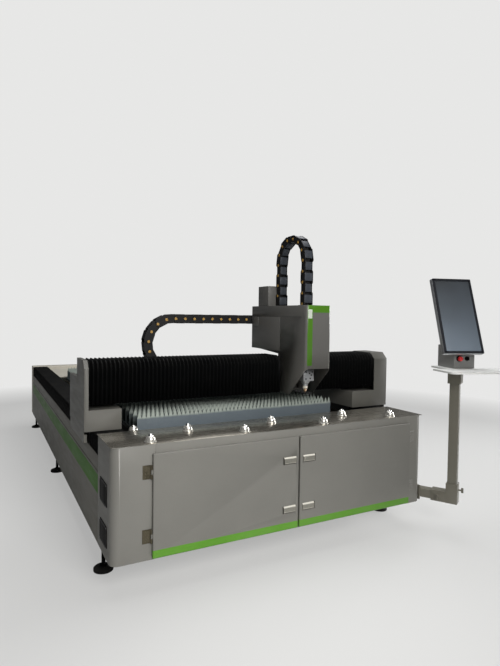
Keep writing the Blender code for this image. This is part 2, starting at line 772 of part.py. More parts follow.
def make_door(side):
    left = side == "left"
    low_x = DOOR_LEFT_START if left else DOOR_LEFT_START + DOOR_WIDTH + DOOR_GAP
    high_x = low_x + DOOR_WIDTH
    pivot_x = low_x - HINGE_OFFSET if left else high_x + HINGE_OFFSET
    axis_y = -DOOR_STANDOFF - DOOR_THICKNESS / 2
    turn = carrier(f"door_{side}_pivot", (pivot_x, axis_y, (DOOR_LOW + DOOR_HIGH) / 2), machine)
    door = box(
        f"door_{side}",
        (low_x, -DOOR_STANDOFF - DOOR_THICKNESS, DOOR_LOW),
        (high_x, -DOOR_STANDOFF, DOOR_HIGH),
        "grey_paint",
        turn,
        edge=DOOR_EDGE,
    )
    outward = -1 if left else 1
    for tag, height in (("upper", HINGE_UPPER), ("lower", HINGE_LOWER)):
        hinge(f"{side}_{tag}", height, pivot_x, outward, door, turn)
    handle_x = high_x - LATCH_EDGE_GAP - LATCH_LENGTH if left else low_x + LATCH_EDGE_GAP
    for tag, height in (("upper", LATCH_UPPER), ("lower", LATCH_LOWER)):
        latch(f"latch_{side}_{tag}", height, door, handle_x, outward, turn)


# Bed


def make_bed():
    start = CABINET_DEPTH + CLEAR
    rear = BED_REAR - REAR_BEAM_DEPTH - CLEAR
    section = [
        (0, GROUND_GAP),
        (BEAM_WIDTH, GROUND_GAP),
        (BEAM_WIDTH, BED_TOP),
        (LEDGE_STEP, BED_TOP),
        (LEDGE_STEP, LEDGE_HEIGHT + LEDGE_STEP),
        (0, LEDGE_HEIGHT),
    ]
    outline("bed_beam_left", section, "XZ", start, rear, "grey_paint")
    outline("bed_beam_right", mirror_x(section), "XZ", start, rear, "grey_paint")
    inner_left = BEAM_WIDTH + CLEAR
    inner_right = BED_WIDTH - BEAM_WIDTH - CLEAR
    front = box(
        "cross_beam_front",
        (inner_left, start, GROUND_GAP),
        (inner_right, start + FRONT_BEAM_DEPTH, FRONT_BEAM_TOP),
        "dark_paint",
    )
    ball_y = start + FRONT_BEAM_DEPTH - BALL_UNIT_RADIUS - BALL_FLANGE
    join(front, *ball_units([(inner_left + BALL_UNIT_RADIUS + SHEET, ball_y)], FRONT_BEAM_TOP, SHEET / 2))
    back = box(
        "cross_beam_rear", (0, BED_REAR - REAR_BEAM_DEPTH, GROUND_GAP), (BED_WIDTH, BED_REAR, REAR_BEAM_TOP),
        "pale_paint", edge=0.006,
    )
    deck = box(
        "rear_deck",
        (inner_left, DECK_START, DECK_TOP - DECK_THICKNESS),
        (inner_right, BED_REAR - REAR_BEAM_DEPTH / 2, DECK_TOP),
    )
    join(back, deck)
    box(
        "slag_tray",
        (inner_left, start + FRONT_BEAM_DEPTH + CLEAR, SLAG_TRAY_HEIGHT),
        (inner_right, rear, SLAG_TRAY_HEIGHT + SLAG_TRAY_THICKNESS),
        "galvanised",
    )


def make_feet():
    profile = [
        (0, GROUND_GAP - CLEAR),
        (FOOT_NUT_RADIUS, GROUND_GAP - CLEAR),
        (FOOT_NUT_RADIUS, GROUND_GAP - FOOT_NUT_HEIGHT),
        (FOOT_STEM_RADIUS, GROUND_GAP - FOOT_NUT_HEIGHT),
        (FOOT_STEM_RADIUS, 2.6 * FOOT_PAD_HEIGHT),
        (FOOT_NUT_RADIUS, 2.2 * FOOT_PAD_HEIGHT),
        (FOOT_NUT_RADIUS, 1.5 * FOOT_PAD_HEIGHT),
        (0.8 * FOOT_PAD_RADIUS, FOOT_PAD_HEIGHT),
        (FOOT_PAD_RADIUS, 0.7 * FOOT_PAD_HEIGHT),
        (FOOT_PAD_RADIUS, 0),
        (0, 0),
    ]
    for row, y in (("front", FOOT_FRONT), ("middle", FOOT_MIDDLE), ("rear", FOOT_REAR)):
        for side, x in (("left", FOOT_INSET), ("right", BED_WIDTH - FOOT_INSET)):
            turned(f"foot_{row}_{side}", profile, (x, y, 0), "rubber", sides=12)


def make_slat_table():
    """Sawtooth blades across the bed, seated in two side plates that rest on the bed's cross members."""
    teeth = round((SLAT_RIGHT - SLAT_LEFT) / TOOTH_PITCH)
    pitch = (SLAT_RIGHT - SLAT_LEFT) / teeth
    saw = [(SLAT_LEFT, SLAT_LOW), (SLAT_RIGHT, SLAT_LOW), (SLAT_RIGHT, SLAT_ROOT)]
    for i in range(teeth):
        saw.append((SLAT_RIGHT - (i + 0.5) * pitch, SLAT_TIP))
        saw.append((SLAT_RIGHT - (i + 1) * pitch, SLAT_ROOT))
    table = outline("slat_table", saw, "XZ", SLAT_FRONT, SLAT_FRONT + SLAT_THICKNESS, "galvanised")
    repeat(table, SLAT_COUNT, (0, SLAT_PITCH, 0))
    rear = SLAT_FRONT + (SLAT_COUNT - 1) * SLAT_PITCH + 0.03
    front = CABINET_DEPTH + FRONT_BEAM_DEPTH + 2 * CLEAR
    rails = []
    for i, x in enumerate((SLAT_LEFT - TABLE_RAIL_WIDTH * 0.6, SLAT_RIGHT - TABLE_RAIL_WIDTH * 0.4)):
        rails.append(box(f"table_rail_{i}", (x, front, SLAT_LOW), (x + TABLE_RAIL_WIDTH, rear, TABLE_RAIL_TOP)))
    join(table, *rails)
    for i in range(2):
        y = CROSS_MEMBER_FRONT + i * CROSS_MEMBER_PITCH
        box(
            f"cross_member_{i + 1}",
            (BEAM_WIDTH + CLEAR, y, CROSS_MEMBER_LOW),
            (BED_WIDTH - BEAM_WIDTH - CLEAR, y + CROSS_MEMBER_DEPTH, SLAT_LOW - CLEAR),
            "dark_paint",
        )


# Rails and pleated covers


def bellows(name, outer, inner, axis, start, end, pitch, on=machine):
    """A pleated cover. Its section swings between two open outlines along an axis, and the cloth has a wall."""
    folds = max(2, round(abs(end - start) / pitch))
    stations = 2 * folds
    bm = bmesh.new()

    def point(section, i, station):
        u, v = section[i]
        along = start + (end - start) * station / stations
        return Vector((along, u, v)) if axis == "X" else Vector((u, along, v))

    ring = [bm.verts.new(point(outer, i, 0)) for i in range(len(outer))]
    edges = [bm.edges.new(pair) for pair in zip(ring, ring[1:])]
    for station in range(1, stations + 1):
        section = inner if station % 2 else outer
        made = bmesh.ops.extrude_edge_only(bm, edges=edges)["geom"]
        edges = [item for item in made if isinstance(item, bmesh.types.BMEdge)]
        fresh = [item for item in made if isinstance(item, bmesh.types.BMVert)]
        previous = outer if station % 2 else inner
        for vert in fresh:
            i = min(range(len(outer)), key=lambda k: (point(previous, k, station - 1) - vert.co).length)
            vert.co = point(section, i, station)
    mesh = bpy.data.meshes.new(name)
    bm.to_mesh(mesh)
    bm.free()
    obj = add(name, mesh, (0, 0, 0), "black_cloth", on)
    wall = obj.modifiers.new("wall", "SOLIDIFY")
    wall.thickness = BELLOWS_WALL
    wall.offset = 0.0
    return obj


def make_rails():
    rear = BED_REAR - REAR_BEAM_DEPTH - CLEAR
    start = CABINET_DEPTH + CLEAR
    low = BED_TOP + CLEAR + BELLOWS_WALL / 2
    x0 = LEDGE_STEP
    x1 = x0 + RAIL_BELLOWS_WIDTH
    fold = RAIL_BELLOWS_PLEAT
    top = RAIL_BELLOWS_TOP
    outer = [(x0, low), (x0, top), (x1, top), (x1, low)]
    inner = [(x0 + fold, low), (x0 + fold, top - fold), (x1 - fold, top - fold), (x1 - fold, low)]
    for side, flip in (("left", False), ("right", True)):
        near = RAIL_INSET - RAIL_WIDTH / 2
        if flip:
            near = BED_WIDTH - near - RAIL_WIDTH
        box(
            f"y_rail_{side}",
            (near, start + 0.02, BED_TOP + CLEAR),
            (near + RAIL_WIDTH, rear - 0.02, BED_TOP + RAIL_HEIGHT),
            "machined",
        )
        sections = [mirror_x(s) if flip else s for s in (outer, inner)]
        near, far = SADDLE_FRONT - BELLOWS_SEAT, SADDLE_FRONT + SADDLE_DEPTH + REAR_BELLOWS_SEAT
        bellows(f"rail_bellows_{side}_rear", *sections, "Y", rear - REAR_BELLOWS_SEAT, far, REAR_BELLOWS_PITCH)
        bellows(f"rail_bellows_{side}_front", *sections, "Y", start + BELLOWS_SEAT, near, FRONT_BELLOWS_PITCH)


# Gantry


def end_cover(side, on):
    """A folded cover over one end of the gantry: an upright shell, its skirt and the low box over the saddle."""
    left = side == "left"
    outer = -COVER_OUT if left else BED_WIDTH + COVER_OUT
    inward = 1 if left else -1
    width = COVER_LEFT_WIDTH if left else COVER_RIGHT_WIDTH
    foot = FOOT_BOX_LEFT if left else FOOT_BOX_RIGHT
    y0 = GANTRY_FRONT
    y1 = y0 + COVER_UPPER_DEPTH
    y2 = y0 + GANTRY_DEPTH

    def profile(inset, low):
        top = COVER_TOP - inset
        slope = COVER_CHAMFER - inset * 0.4
        return [
            (y0 + inset, low),
            (y2 - inset, low),
            (y2 - inset, COVER_REAR_TOP - inset),
            (y1 - inset, COVER_REAR_TOP - inset),
            (y1 - inset, top),
            (y0 + inset + slope, top),
            (y0 + inset, top - slope),
        ]

    def span(a, b):
        first, second = outer + inward * a, outer + inward * b
        return min(first, second), max(first, second)

    cover = outline(f"end_cover_{side}", profile(0.0, COVER_LOW), "YZ", *span(0, width), on=on)
    a, b = span(0.001, foot)
    low_box = box(f"low_box_{side}", (a, y0, COVER_LOW), (b, y2, FOOT_BOX_TOP), on=on)
    a, b = span(0.0, COVER_SKIRT_WIDTH)
    skirt = box(f"skirt_{side}", (a, y0 + 0.02, COVER_SKIRT_LOW), (b, y2 - 0.02, COVER_LOW + 0.01), on=on)
    hollow = outline(f"hollow_{side}", profile(SHEET, COVER_LOW - 0.01), "YZ", *span(SHEET, width + 0.01), on=on)
    a, b = span(SHEET + 0.0005, foot - SHEET)
    low_hollow = box(
        f"low_hollow_{side}",
        (a, y0 + SHEET, COVER_LOW - 0.02),
        (b, y2 - SHEET, FOOT_BOX_TOP - SHEET),
        on=on,
    )
    opening = box(
        f"top_opening_{side}",
        (a, y0 + FOOT_BOX_SHELF, FOOT_BOX_TOP - 0.02),
        (b, y2 - SHEET, FOOT_BOX_TOP + 0.02),
        on=on,
    )
    a, b = span(SHEET, COVER_SKIRT_WIDTH + 0.005)
    skirt_hollow = box(
        f"skirt_hollow_{side}", (a, y0 + 0.023, COVER_SKIRT_LOW - 0.01), (b, y2 - 0.023, COVER_LOW + 0.02), on=on
    )
    join(cover, low_box, skirt)
    cut(cover, hollow, low_hollow, opening, skirt_hollow)


def make_gantry():
    gantry = carrier("gantry_slide", (BED_WIDTH / 2, GANTRY_FRONT, BED_TOP), machine)
    beam_rear = BEAM_FRONT + BEAM_DEPTH
    shelf_top = BEAM_CHAIN_TOP_Z - 2 * BEAM_CHAIN_RADIUS - BEAM_CHAIN_THICKNESS / 2 - SHELF_GAP
    section = [
        (BEAM_FRONT, BEAM_LOW),
        (beam_rear, BEAM_LOW),
        (beam_rear, shelf_top - SHELF_THICKNESS),
        (SHELF_REAR, shelf_top - SHELF_THICKNESS),
        (SHELF_REAR, shelf_top + SHELF_LIP),
        (SHELF_REAR - SHEET, shelf_top + SHELF_LIP),
        (SHELF_REAR - SHEET, shelf_top),
        (beam_rear, shelf_top),
        (beam_rear, BEAM_HIGH),
        (BEAM_FRONT, BEAM_HIGH),
    ]
    beam_left = -COVER_OUT + SHEET + CLEAR
    beam_right = BED_WIDTH - beam_left
    beam = outline("gantry_beam", section, "YZ", beam_left, beam_right, "dark_paint", gantry)
    rails = [
        box(
            f"cross_rail_{i}",
            (beam_left + CROSS_RAIL_INSET, BEAM_FRONT - CROSS_RAIL, z),
            (beam_right - CROSS_RAIL_INSET, BEAM_FRONT + 0.005, z + CROSS_RAIL),
            on=gantry,
        )
        for i, z in enumerate(CROSS_RAIL_HEIGHTS)
    ]
    stop = box(
        "chain_clamp",
        (BEAM_CHAIN_FIXED_END + CLEAR, BEAM_CHAIN_FRONT, shelf_top - SHELF_THICKNESS / 2),
        (BEAM_CHAIN_FIXED_END + CHAIN_CLAMP, BEAM_CHAIN_FRONT + CHAIN_WIDTH, shelf_top + SHELF_GAP + 0.05),
        on=gantry,
    )
    join(beam, *rails, stop)
    for side, x in (("left", SADDLE_INSET), ("right", BED_WIDTH - SADDLE_INSET - SADDLE_WIDTH)):
        end_cover(side, gantry)
        saddle = box(
            f"saddle_{side}",
            (x, SADDLE_FRONT, BED_TOP + RAIL_HEIGHT + CLEAR),
            (x + SADDLE_WIDTH, SADDLE_FRONT + SADDLE_DEPTH, BEAM_LOW - CLEAR),
            "dark_paint",
            gantry,
            edge=0.004,
        )
        motor = cylinder(
            f"drive_motor_{side}",
            (x + SADDLE_WIDTH / 2, SADDLE_FRONT + SADDLE_DEPTH - 0.10, BEAM_LOW - 0.05),
            DRIVE_RADIUS,
            DRIVE_TOP - BEAM_LOW + 0.05,
            on=gantry,
        )
        join(saddle, motor)
    make_beam_bellows(gantry)
    make_beam_chain(gantry)
    return gantry


def make_beam_bellows(gantry):
    front = GANTRY_FRONT + BEAM_BELLOWS_SETBACK
    top = COVER_TOP - BELLOWS_WALL
    slope = COVER_CHAMFER
    fold = BEAM_BELLOWS_PLEAT
    outer = [(front, BEAM_BELLOWS_LOW), (front, top - slope), (front + slope, top), (BEAM_BELLOWS_REAR, top)]
    inner = [
        (front + fold, BEAM_BELLOWS_LOW),
        (front + fold, top - slope - fold * 0.4),
        (front + slope + fold * 0.4, top - fold),
        (BEAM_BELLOWS_REAR, top - fold),
    ]
    left = -COVER_OUT + COVER_LEFT_WIDTH
    right = BED_WIDTH + COVER_OUT - COVER_RIGHT_WIDTH
    gap = BELLOWS_SEAT
    ends = {"left": (left + gap, HEAD_LEFT - gap), "right": (right - gap, HEAD_LEFT + HEAD_WIDTH + gap)}
    for side, (start, end) in ends.items():
        bellows(f"beam_bellows_{side}", outer, inner, "X", start, end, BEAM_BELLOWS_PITCH, gantry)


# Cable chains


def chain(name, path, links, thickness, across, on):
    """Chain links along a path: side plates that nest in turn, and crossbars between them, joined as one body."""
    length = path(None)
    pitch = length / links
    half = CHAIN_WIDTH / 2
    plate = CHAIN_PLATE
    meshes = {"even": bmesh.new(), "odd": bmesh.new(), "bars": bmesh.new()}

    def block(bm, frame, centre, size):
        local = Matrix.Translation(centre) @ Matrix.Diagonal((*size, 1.0))
        bmesh.ops.create_cube(bm, size=1.0, matrix=frame @ local)

    for i in range(links):
        at, along = path((i + 0.5) * pitch)
        up = along.cross(across)
        frame = Matrix.Translation(at) @ Matrix((along, across, up)).transposed().to_4x4()
        key = "odd" if i % 2 else "even"
        offset = half - plate / 2 - (0.004 if i % 2 else 0.0)
        reach = 1.0 if i in (0, links - 1) else 1.18
        slide = 0.09 * pitch if i == 0 else -0.09 * pitch if i == links - 1 else 0.0
        stretch = (reach + (0.09 if i in (0, links - 1) else 0.0)) * pitch
        slide *= 0.5
        height = thickness - (0.0 if i % 2 else 0.0012)
        for side in (-1, 1):
            block(meshes[key], frame, (slide, side * offset, 0), (stretch, plate, height))
        block(meshes["bars"], frame, (0, 0, 0), (0.58 * pitch, CHAIN_WIDTH - plate, thickness - 0.01))
    objects = []
    for key, bm in meshes.items():
        mesh = bpy.data.meshes.new(f"{name}_{key}")
        bm.to_mesh(mesh)
        bm.free()
        objects.append(add(name if key == "even" else f"{name}_{key}", mesh, (0, 0, 0), "black_plastic", on))
    return join(*objects)


def u_path(first, turn, radius, last, point):
    """A straight run, half a turn and a straight run back. point() places a flat position and direction."""
    bend = math.pi * radius

    def path(distance):
        if distance is None:
            return first + bend + last
        if distance < first:
            return point(turn - first + distance, radius, 1.0, 0.0)
        if distance < first + bend:
            angle = (distance - first) / radius
            return point(turn + radius * math.sin(angle), radius * math.cos(angle), math.cos(angle), -math.sin(angle))
        return point(turn - (distance - first - bend), -radius, -1.0, 0.0)

    return path


def make_beam_chain(gantry):
    """The chain behind the beam: along its top run to the left, round the bend and back along the shelf."""
    y = BEAM_CHAIN_FRONT + CHAIN_WIDTH / 2
    centre_z = BEAM_CHAIN_TOP_Z - BEAM_CHAIN_RADIUS

    def point(along, out, d_along, d_out):
        return Vector((-along, y, centre_z + out)), Vector((-d_along, 0, d_out))

    path = u_path(
        BEAM_CHAIN_MOVING_END - BEAM_CHAIN_TURN_X,
        -BEAM_CHAIN_TURN_X,
        BEAM_CHAIN_RADIUS,
        BEAM_CHAIN_FIXED_END - BEAM_CHAIN_TURN_X,
        point,
    )
    chain("beam_cable_chain", path, BEAM_CHAIN_LINKS, BEAM_CHAIN_THICKNESS, Vector((0, 1, 0)), gantry)


def make_head_chain(carriage):
    """The chain over the head: up from the bracket behind, over the top and down to the lift slide."""
    x = HEAD_LEFT + HEAD_WIDTH / 2
    rear_low = HEAD_TOP + CLEAR

    def point(along, out, d_along, d_out):
        return Vector((x, HEAD_CHAIN_CENTRE_Y + out, along)), Vector((0, d_out, d_along))

    path = u_path(
        HEAD_CHAIN_CENTRE_Z - rear_low,
        HEAD_CHAIN_CENTRE_Z,
        HEAD_CHAIN_RADIUS,
        HEAD_CHAIN_CENTRE_Z - SLIDE_TOP - CLEAR - 0.002,
        point,
    )
    chain("head_cable_chain", path, HEAD_CHAIN_LINKS, HEAD_CHAIN_THICKNESS, Vector((1, 0, 0)), carriage)


# Cutting head


def make_head_cover(carriage):
    """A folded cover, open below and behind, with slanted side plates beside the nozzle."""
    left, right = HEAD_LEFT, HEAD_LEFT + HEAD_WIDTH
    side = [
        (HEAD_FRONT, HEAD_FACE_LOW),
        (HEAD_PLATE_FRONT, HEAD_PLATE_LOW),
        (HEAD_PLATE_REAR, HEAD_PLATE_LOW),
        (HEAD_PLATE_REAR, HEAD_OVER_FRONT),
        (HEAD_REAR, HEAD_OVER_REAR),
        (HEAD_REAR, HEAD_TOP),
        (HEAD_FRONT, HEAD_TOP),
    ]
    cover = outline("head_cover", side, "YZ", left, right, "dark_paint", carriage)
    wall = HEAD_SHEET
    space = [
        (HEAD_FRONT + wall, HEAD_FACE_LOW),
        (HEAD_FRONT - 0.03, HEAD_FACE_LOW),
        (HEAD_FRONT - 0.03, HEAD_PLATE_LOW + wall),
        (HEAD_PLATE_REAR + 0.015, HEAD_PLATE_LOW + wall),
        (HEAD_PLATE_REAR + 0.015, HEAD_OVER_FRONT - 0.03),
        (HEAD_REAR - wall, HEAD_OVER_FRONT - 0.03),
        (HEAD_REAR - wall, HEAD_TOP - wall),
        (HEAD_FRONT + wall, HEAD_TOP - wall),
    ]
    hollow = outline("head_space", space, "YZ", left + wall, right - wall, on=carriage)
    middle = (left + right) / 2
    chain_y = HEAD_CHAIN_CENTRE_Y - HEAD_CHAIN_RADIUS
    slot = box(
        "chain_slot",
        (middle - CHAIN_WIDTH / 2 - 0.005, chain_y - HEAD_CHAIN_THICKNESS / 2 - 0.008, HEAD_TOP - 0.02),
        (middle + CHAIN_WIDTH / 2 + 0.005, chain_y + HEAD_CHAIN_THICKNESS / 2 + 0.008, HEAD_TOP + 0.02),
        on=carriage,
    )
    cut(cover, hollow, slot)
    bracket = box(
        "chain_bracket",
        (left, BRACKET_FRONT, HEAD_TOP - wall / 2),
        (left + BRACKET_WIDTH, BRACKET_FRONT + BRACKET_DEPTH, BRACKET_TOP),
        on=carriage,
    )
    tab = box(
        "chain_tab",
        (BEAM_CHAIN_MOVING_END + CLEAR, HEAD_REAR - wall / 2, BEAM_CHAIN_TOP_Z - 0.03),
        (BEAM_CHAIN_MOVING_END + 0.06, BEAM_CHAIN_FRONT + CHAIN_WIDTH, BEAM_CHAIN_TOP_Z + 0.03),
        on=carriage,
    )
    join(cover, bracket, tab)


def make_carriage(carriage):
    """The plate that runs on the cross rails, its shelf over the beam, the cross drive and the lift rails."""
    left = HEAD_LEFT + HEAD_SHEET + CLEAR
    right = HEAD_LEFT + HEAD_WIDTH - HEAD_SHEET - CLEAR
    back = BEAM_FRONT - CROSS_RAIL - CLEAR
    front = back - CARRIAGE_THICKNESS
    section = [
        (front, CARRIAGE_LOW),
        (back, CARRIAGE_LOW),
        (back, CARRIAGE_SHELF_LOW),
        (HEAD_REAR - 2 * HEAD_SHEET, CARRIAGE_SHELF_LOW + 0.03),
        (HEAD_REAR - 2 * HEAD_SHEET, CARRIAGE_SHELF_LOW + 0.03 + CARRIAGE_SHELF),
        (back, CARRIAGE_SHELF_LOW + 0.03 + CARRIAGE_SHELF),
        (back, CARRIAGE_TOP),
        (front, CARRIAGE_TOP),
    ]
    plate = outline("carriage_plate", section, "YZ", left, right, "machined", carriage)
    middle = (left + right) / 2
    shelf_z = CARRIAGE_SHELF_LOW + 0.03
    motor = box(
        "cross_motor",
        (middle - CROSS_MOTOR_WIDTH / 2, CROSS_MOTOR_FRONT, shelf_z),
        (middle + CROSS_MOTOR_WIDTH / 2, CROSS_MOTOR_FRONT + CROSS_MOTOR_DEPTH, shelf_z + CROSS_MOTOR_HEIGHT),
        on=carriage,
    )
    rails = []
    for i, x in enumerate((left + LIFT_RAIL_INSET, right - LIFT_RAIL_INSET - LIFT_RAIL_WIDTH)):
        rails.append(
            box(
                f"lift_rail_{i}",
                (x, front - LIFT_RAIL_DEPTH, CARRIAGE_LOW + 0.02),
                (x + LIFT_RAIL_WIDTH, front + 0.005, CARRIAGE_TOP - 0.02),
                on=carriage,
            )
        )
    screw_y = front - SCREW_FORWARD
    drive = box(
        "lift_motor",
        (middle - LIFT_MOTOR / 2, screw_y - LIFT_MOTOR / 2, CARRIAGE_TOP - MOTOR_LAP),
        (middle + LIFT_MOTOR / 2, screw_y + LIFT_MOTOR / 2, CARRIAGE_TOP + LIFT_MOTOR_HEIGHT),
        on=carriage,
    )
    screw = cylinder(
        "lift_screw",
        (middle, screw_y, SLIDE_LOW - 0.02),
        SCREW_RADIUS,
        CARRIAGE_TOP - SLIDE_LOW + 0.02,
        on=carriage,
        sides=16,
    )
    join(plate, motor, *rails, drive, screw)
    return middle, front, screw_y


def make_lift(carriage, middle, carriage_front, screw_y):
    """The slide that carries the cutting head up and down, and the head itself."""
    lift = carrier("head_lift", (middle, carriage_front, SLIDE_LOW), carriage)
    back = carriage_front - LIFT_RAIL_DEPTH - LIFT_RAIL_DEPTH
    front = back - SLIDE_THICKNESS
    slide = box(
        "z_slide", (middle - SLIDE_WIDTH / 2, front, SLIDE_LOW), (middle + SLIDE_WIDTH / 2, back, SLIDE_TOP),
        "machined", lift,
    )
    shoes = []
    lap = back - 0.004
    rear = carriage_front - LIFT_RAIL_DEPTH - CLEAR
    for i, x in enumerate((HEAD_LEFT + LIFT_RAIL_INSET, HEAD_LEFT + HEAD_WIDTH - LIFT_RAIL_INSET - SHOE_WIDTH)):
        for j, z in enumerate((SLIDE_LOW + 0.03, SLIDE_TOP - 0.10)):
            shoes.append(box(f"shoe_{i}_{j}", (x, lap, z), (x + SHOE_WIDTH, rear, z + SHOE_HEIGHT), on=lift))
    nut = box(
        "lift_nut",
        (middle - NUT_WIDTH / 2, lap, NUT_LOW),
        (middle + NUT_WIDTH / 2, carriage_front - 0.002, NUT_LOW + NUT_HEIGHT),
        on=lift,
    )
    chain_y = HEAD_CHAIN_CENTRE_Y - HEAD_CHAIN_RADIUS
    foot = box(
        "chain_foot",
        (middle - CHAIN_WIDTH / 2, chain_y - HEAD_CHAIN_THICKNESS / 2, SLIDE_TOP - 0.010),
        (middle + CHAIN_WIDTH / 2, front + 0.005, SLIDE_TOP + 0.002),
        on=lift,
    )
    join(slide, *shoes, nut, foot)
    bore = cylinder(
        "nut_bore", (middle, screw_y, NUT_LOW - NUT_HEIGHT), SCREW_RADIUS + 0.0005, 3 * NUT_HEIGHT, on=lift, sides=16
    )
    cut(slide, bore)
    half = WINDOW_BLOCK / 2
    nose_top = NOZZLE_TIP + NOSE_HEIGHT
    window_low = nose_top - 0.015
    focus_low = window_low + WINDOW_HEIGHT - HEAD_LAP
    collimator_low = focus_low + FOCUS_HEIGHT - HEAD_LAP
    fibre_low = collimator_low + COLLIMATOR_HEIGHT - HEAD_LAP
    head = box(
        "cutting_head",
        (middle - half, LENS_AXIS_Y - half, window_low),
        (middle + half, LENS_AXIS_Y + half, window_low + WINDOW_HEIGHT),
        "silver",
        lift,
        edge=0.004,
    )
    nose = [
        (0, nose_top),
        (0.034, nose_top),
        (0.034, nose_top - 0.028),
        (0.026, nose_top - 0.040),
        (0.026, nose_top - 0.050),
        (0.016, nose_top - 0.062),
        (0.011, nose_top - 0.068),
        (0.011, NOZZLE_TIP + 0.025),
        (0.004, NOZZLE_TIP),
        (0, NOZZLE_TIP),
    ]
    nozzle = turned("nozzle_nose", nose, (middle, LENS_AXIS_Y, 0), "silver", lift)
    focus = cylinder("focus_tube", (middle, LENS_AXIS_Y, focus_low), FOCUS_RADIUS, FOCUS_HEIGHT, on=lift)
    half = COLLIMATOR / 2
    collimator = box(
        "collimator",
        (middle - half, LENS_AXIS_Y - half, collimator_low),
        (middle + half, LENS_AXIS_Y + half, collimator_low + COLLIMATOR_HEIGHT),
        on=lift,
    )
    fibre = cylinder(
        "fibre_plug", (middle, LENS_AXIS_Y, fibre_low), FIBRE_RADIUS, SLIDE_TOP - FIBRE_DROP - fibre_low,
        on=lift, sides=16,
    )
    mount = box(
        "head_mount",
        (middle - MOUNT_WIDTH / 2, LENS_AXIS_Y + half / 2, MOUNT_LOW),
        (middle + MOUNT_WIDTH / 2, front - CLEAR, MOUNT_LOW + MOUNT_HEIGHT),
        on=lift,
    )
    join(head, nozzle, focus, collimator, fibre, mount)


# Operator console


def make_console():
    """A square tube from the cabinet, an elbow with two clamped sockets, the post, the tray and the panel."""
    along = Vector((math.cos(CONSOLE_TURN), math.sin(CONSOLE_TURN), 0))
    centre = Vector((CONSOLE_X, CONSOLE_Y, 0))
    mid_z = ARM_LOW + TUBE / 2
    socket_half = TUBE / 2 + SOCKET_WALL

    def bar(name, start, end, half, material, on=machine, edge=0.0):
        """A square bar along the arm between two distances from the post's middle."""
        middle = centre + along * ((start + end) / 2)
        size = Vector(((end - start) / 2, half, half))
        at = Vector((middle.x, middle.y, mid_z))
        return box(name, at - size, at + size, material, on, edge, CONSOLE_TURN)

    wall_distance = (BED_WIDTH - CONSOLE_X) / along.x
    arm_end = -socket_half - 0.002
    arm = bar("console_arm", wall_distance - 0.06, arm_end, TUBE / 2, "white_paint", edge=0.004)
    bore = bar("arm_bore", wall_distance - 0.10, arm_end + 0.05, TUBE / 2 - TUBE_WALL, "white_paint")
    trim = box("arm_trim", (BED_WIDTH - 0.4, -0.5, 0), (BED_WIDTH + CLEAR, 0.9, 0.6))
    foot_y = CONSOLE_Y + along.y * wall_distance
    flange = box(
        "arm_flange",
        (BED_WIDTH + CLEAR, foot_y - 0.075, ARM_LOW - 0.02),
        (BED_WIDTH + 0.010, foot_y + 0.085, ARM_LOW + TUBE + 0.02),
    )
    cut(arm, bore, trim)
    join(arm, flange)

    reach = carrier("console_reach", (CONSOLE_X, CONSOLE_Y, mid_z), machine)
    low = ARM_LOW - SOCKET_WALL
    elbow = box(
        "console_elbow",
        (CONSOLE_X - socket_half, CONSOLE_Y - socket_half, low),
        (CONSOLE_X + socket_half, CONSOLE_Y + socket_half, SOCKET_TOP),
        "white_paint",
        reach,
        turn=CONSOLE_TURN,
    )
    sleeve = bar("sleeve", -socket_half - SOCKET_LENGTH, 0.0, socket_half - 0.0005, "white_paint", reach)
    fit = TUBE / 2 + SOCKET_FIT
    upright = box(
        "upright_bore",
        (CONSOLE_X - fit, CONSOLE_Y - fit, ARM_LOW),
        (CONSOLE_X + fit, CONSOLE_Y + fit, SOCKET_TOP + 0.05),
        on=reach,
        turn=CONSOLE_TURN,
    )
    level = bar("level_bore", -socket_half - SOCKET_LENGTH - 0.05, -TUBE / 2 - SOCKET_WALL / 2, fit, "white_paint", reach)
    join(elbow, sleeve)
    cut(elbow, upright, level)
    side = Vector((-along.y, along.x, 0))
    for i, distance in enumerate((-socket_half - SOCKET_LENGTH / 2, 0.0)):
        if i:
            base = centre + along * (TUBE / 2 + SOCKET_FIT + 0.0005)
            spin = CONSOLE_TURN
        else:
            base = centre + along * distance - side * (TUBE / 2 + SOCKET_FIT + 0.0005)
            spin = CONSOLE_TURN - math.pi / 2
        stem = cylinder(
            f"wing_screw_{i}", (base.x, base.y, mid_z + (0.06 if i else 0.0)), 0.006, 0.03, "X", on=reach, sides=10
        )
        stem.rotation_euler.z = spin
        tip = base + Vector((math.cos(spin), math.sin(spin), 0)) * 0.034
        z = mid_z + (0.06 if i else 0.0)
        wing = box(
            f"wing_{i}", (tip.x - 0.008, tip.y - 0.003, z - 0.018), (tip.x + 0.008, tip.y + 0.003, z + 0.018),
            on=reach, turn=spin,
        )
        join(elbow, stem, wing)

    height = carrier("console_height", (CONSOLE_X, CONSOLE_Y, ARM_LOW), reach)
    post = box(
        "console_post",
        (CONSOLE_X - TUBE / 2, CONSOLE_Y - TUBE / 2, ARM_LOW + CLEAR),
        (CONSOLE_X + TUBE / 2, CONSOLE_Y + TUBE / 2, POST_TOP),
        "white_paint",
        height,
        turn=CONSOLE_TURN,
        edge=0.004,
    )
    inner = TUBE / 2 - TUBE_WALL
    post_bore = box(
        "post_bore",
        (CONSOLE_X - inner, CONSOLE_Y - inner, 0),
        (CONSOLE_X + inner, CONSOLE_Y + inner, POST_TOP + 0.1),
        on=height,
        turn=CONSOLE_TURN,
    )
    cut(post, post_bore)
    make_console_head(height)


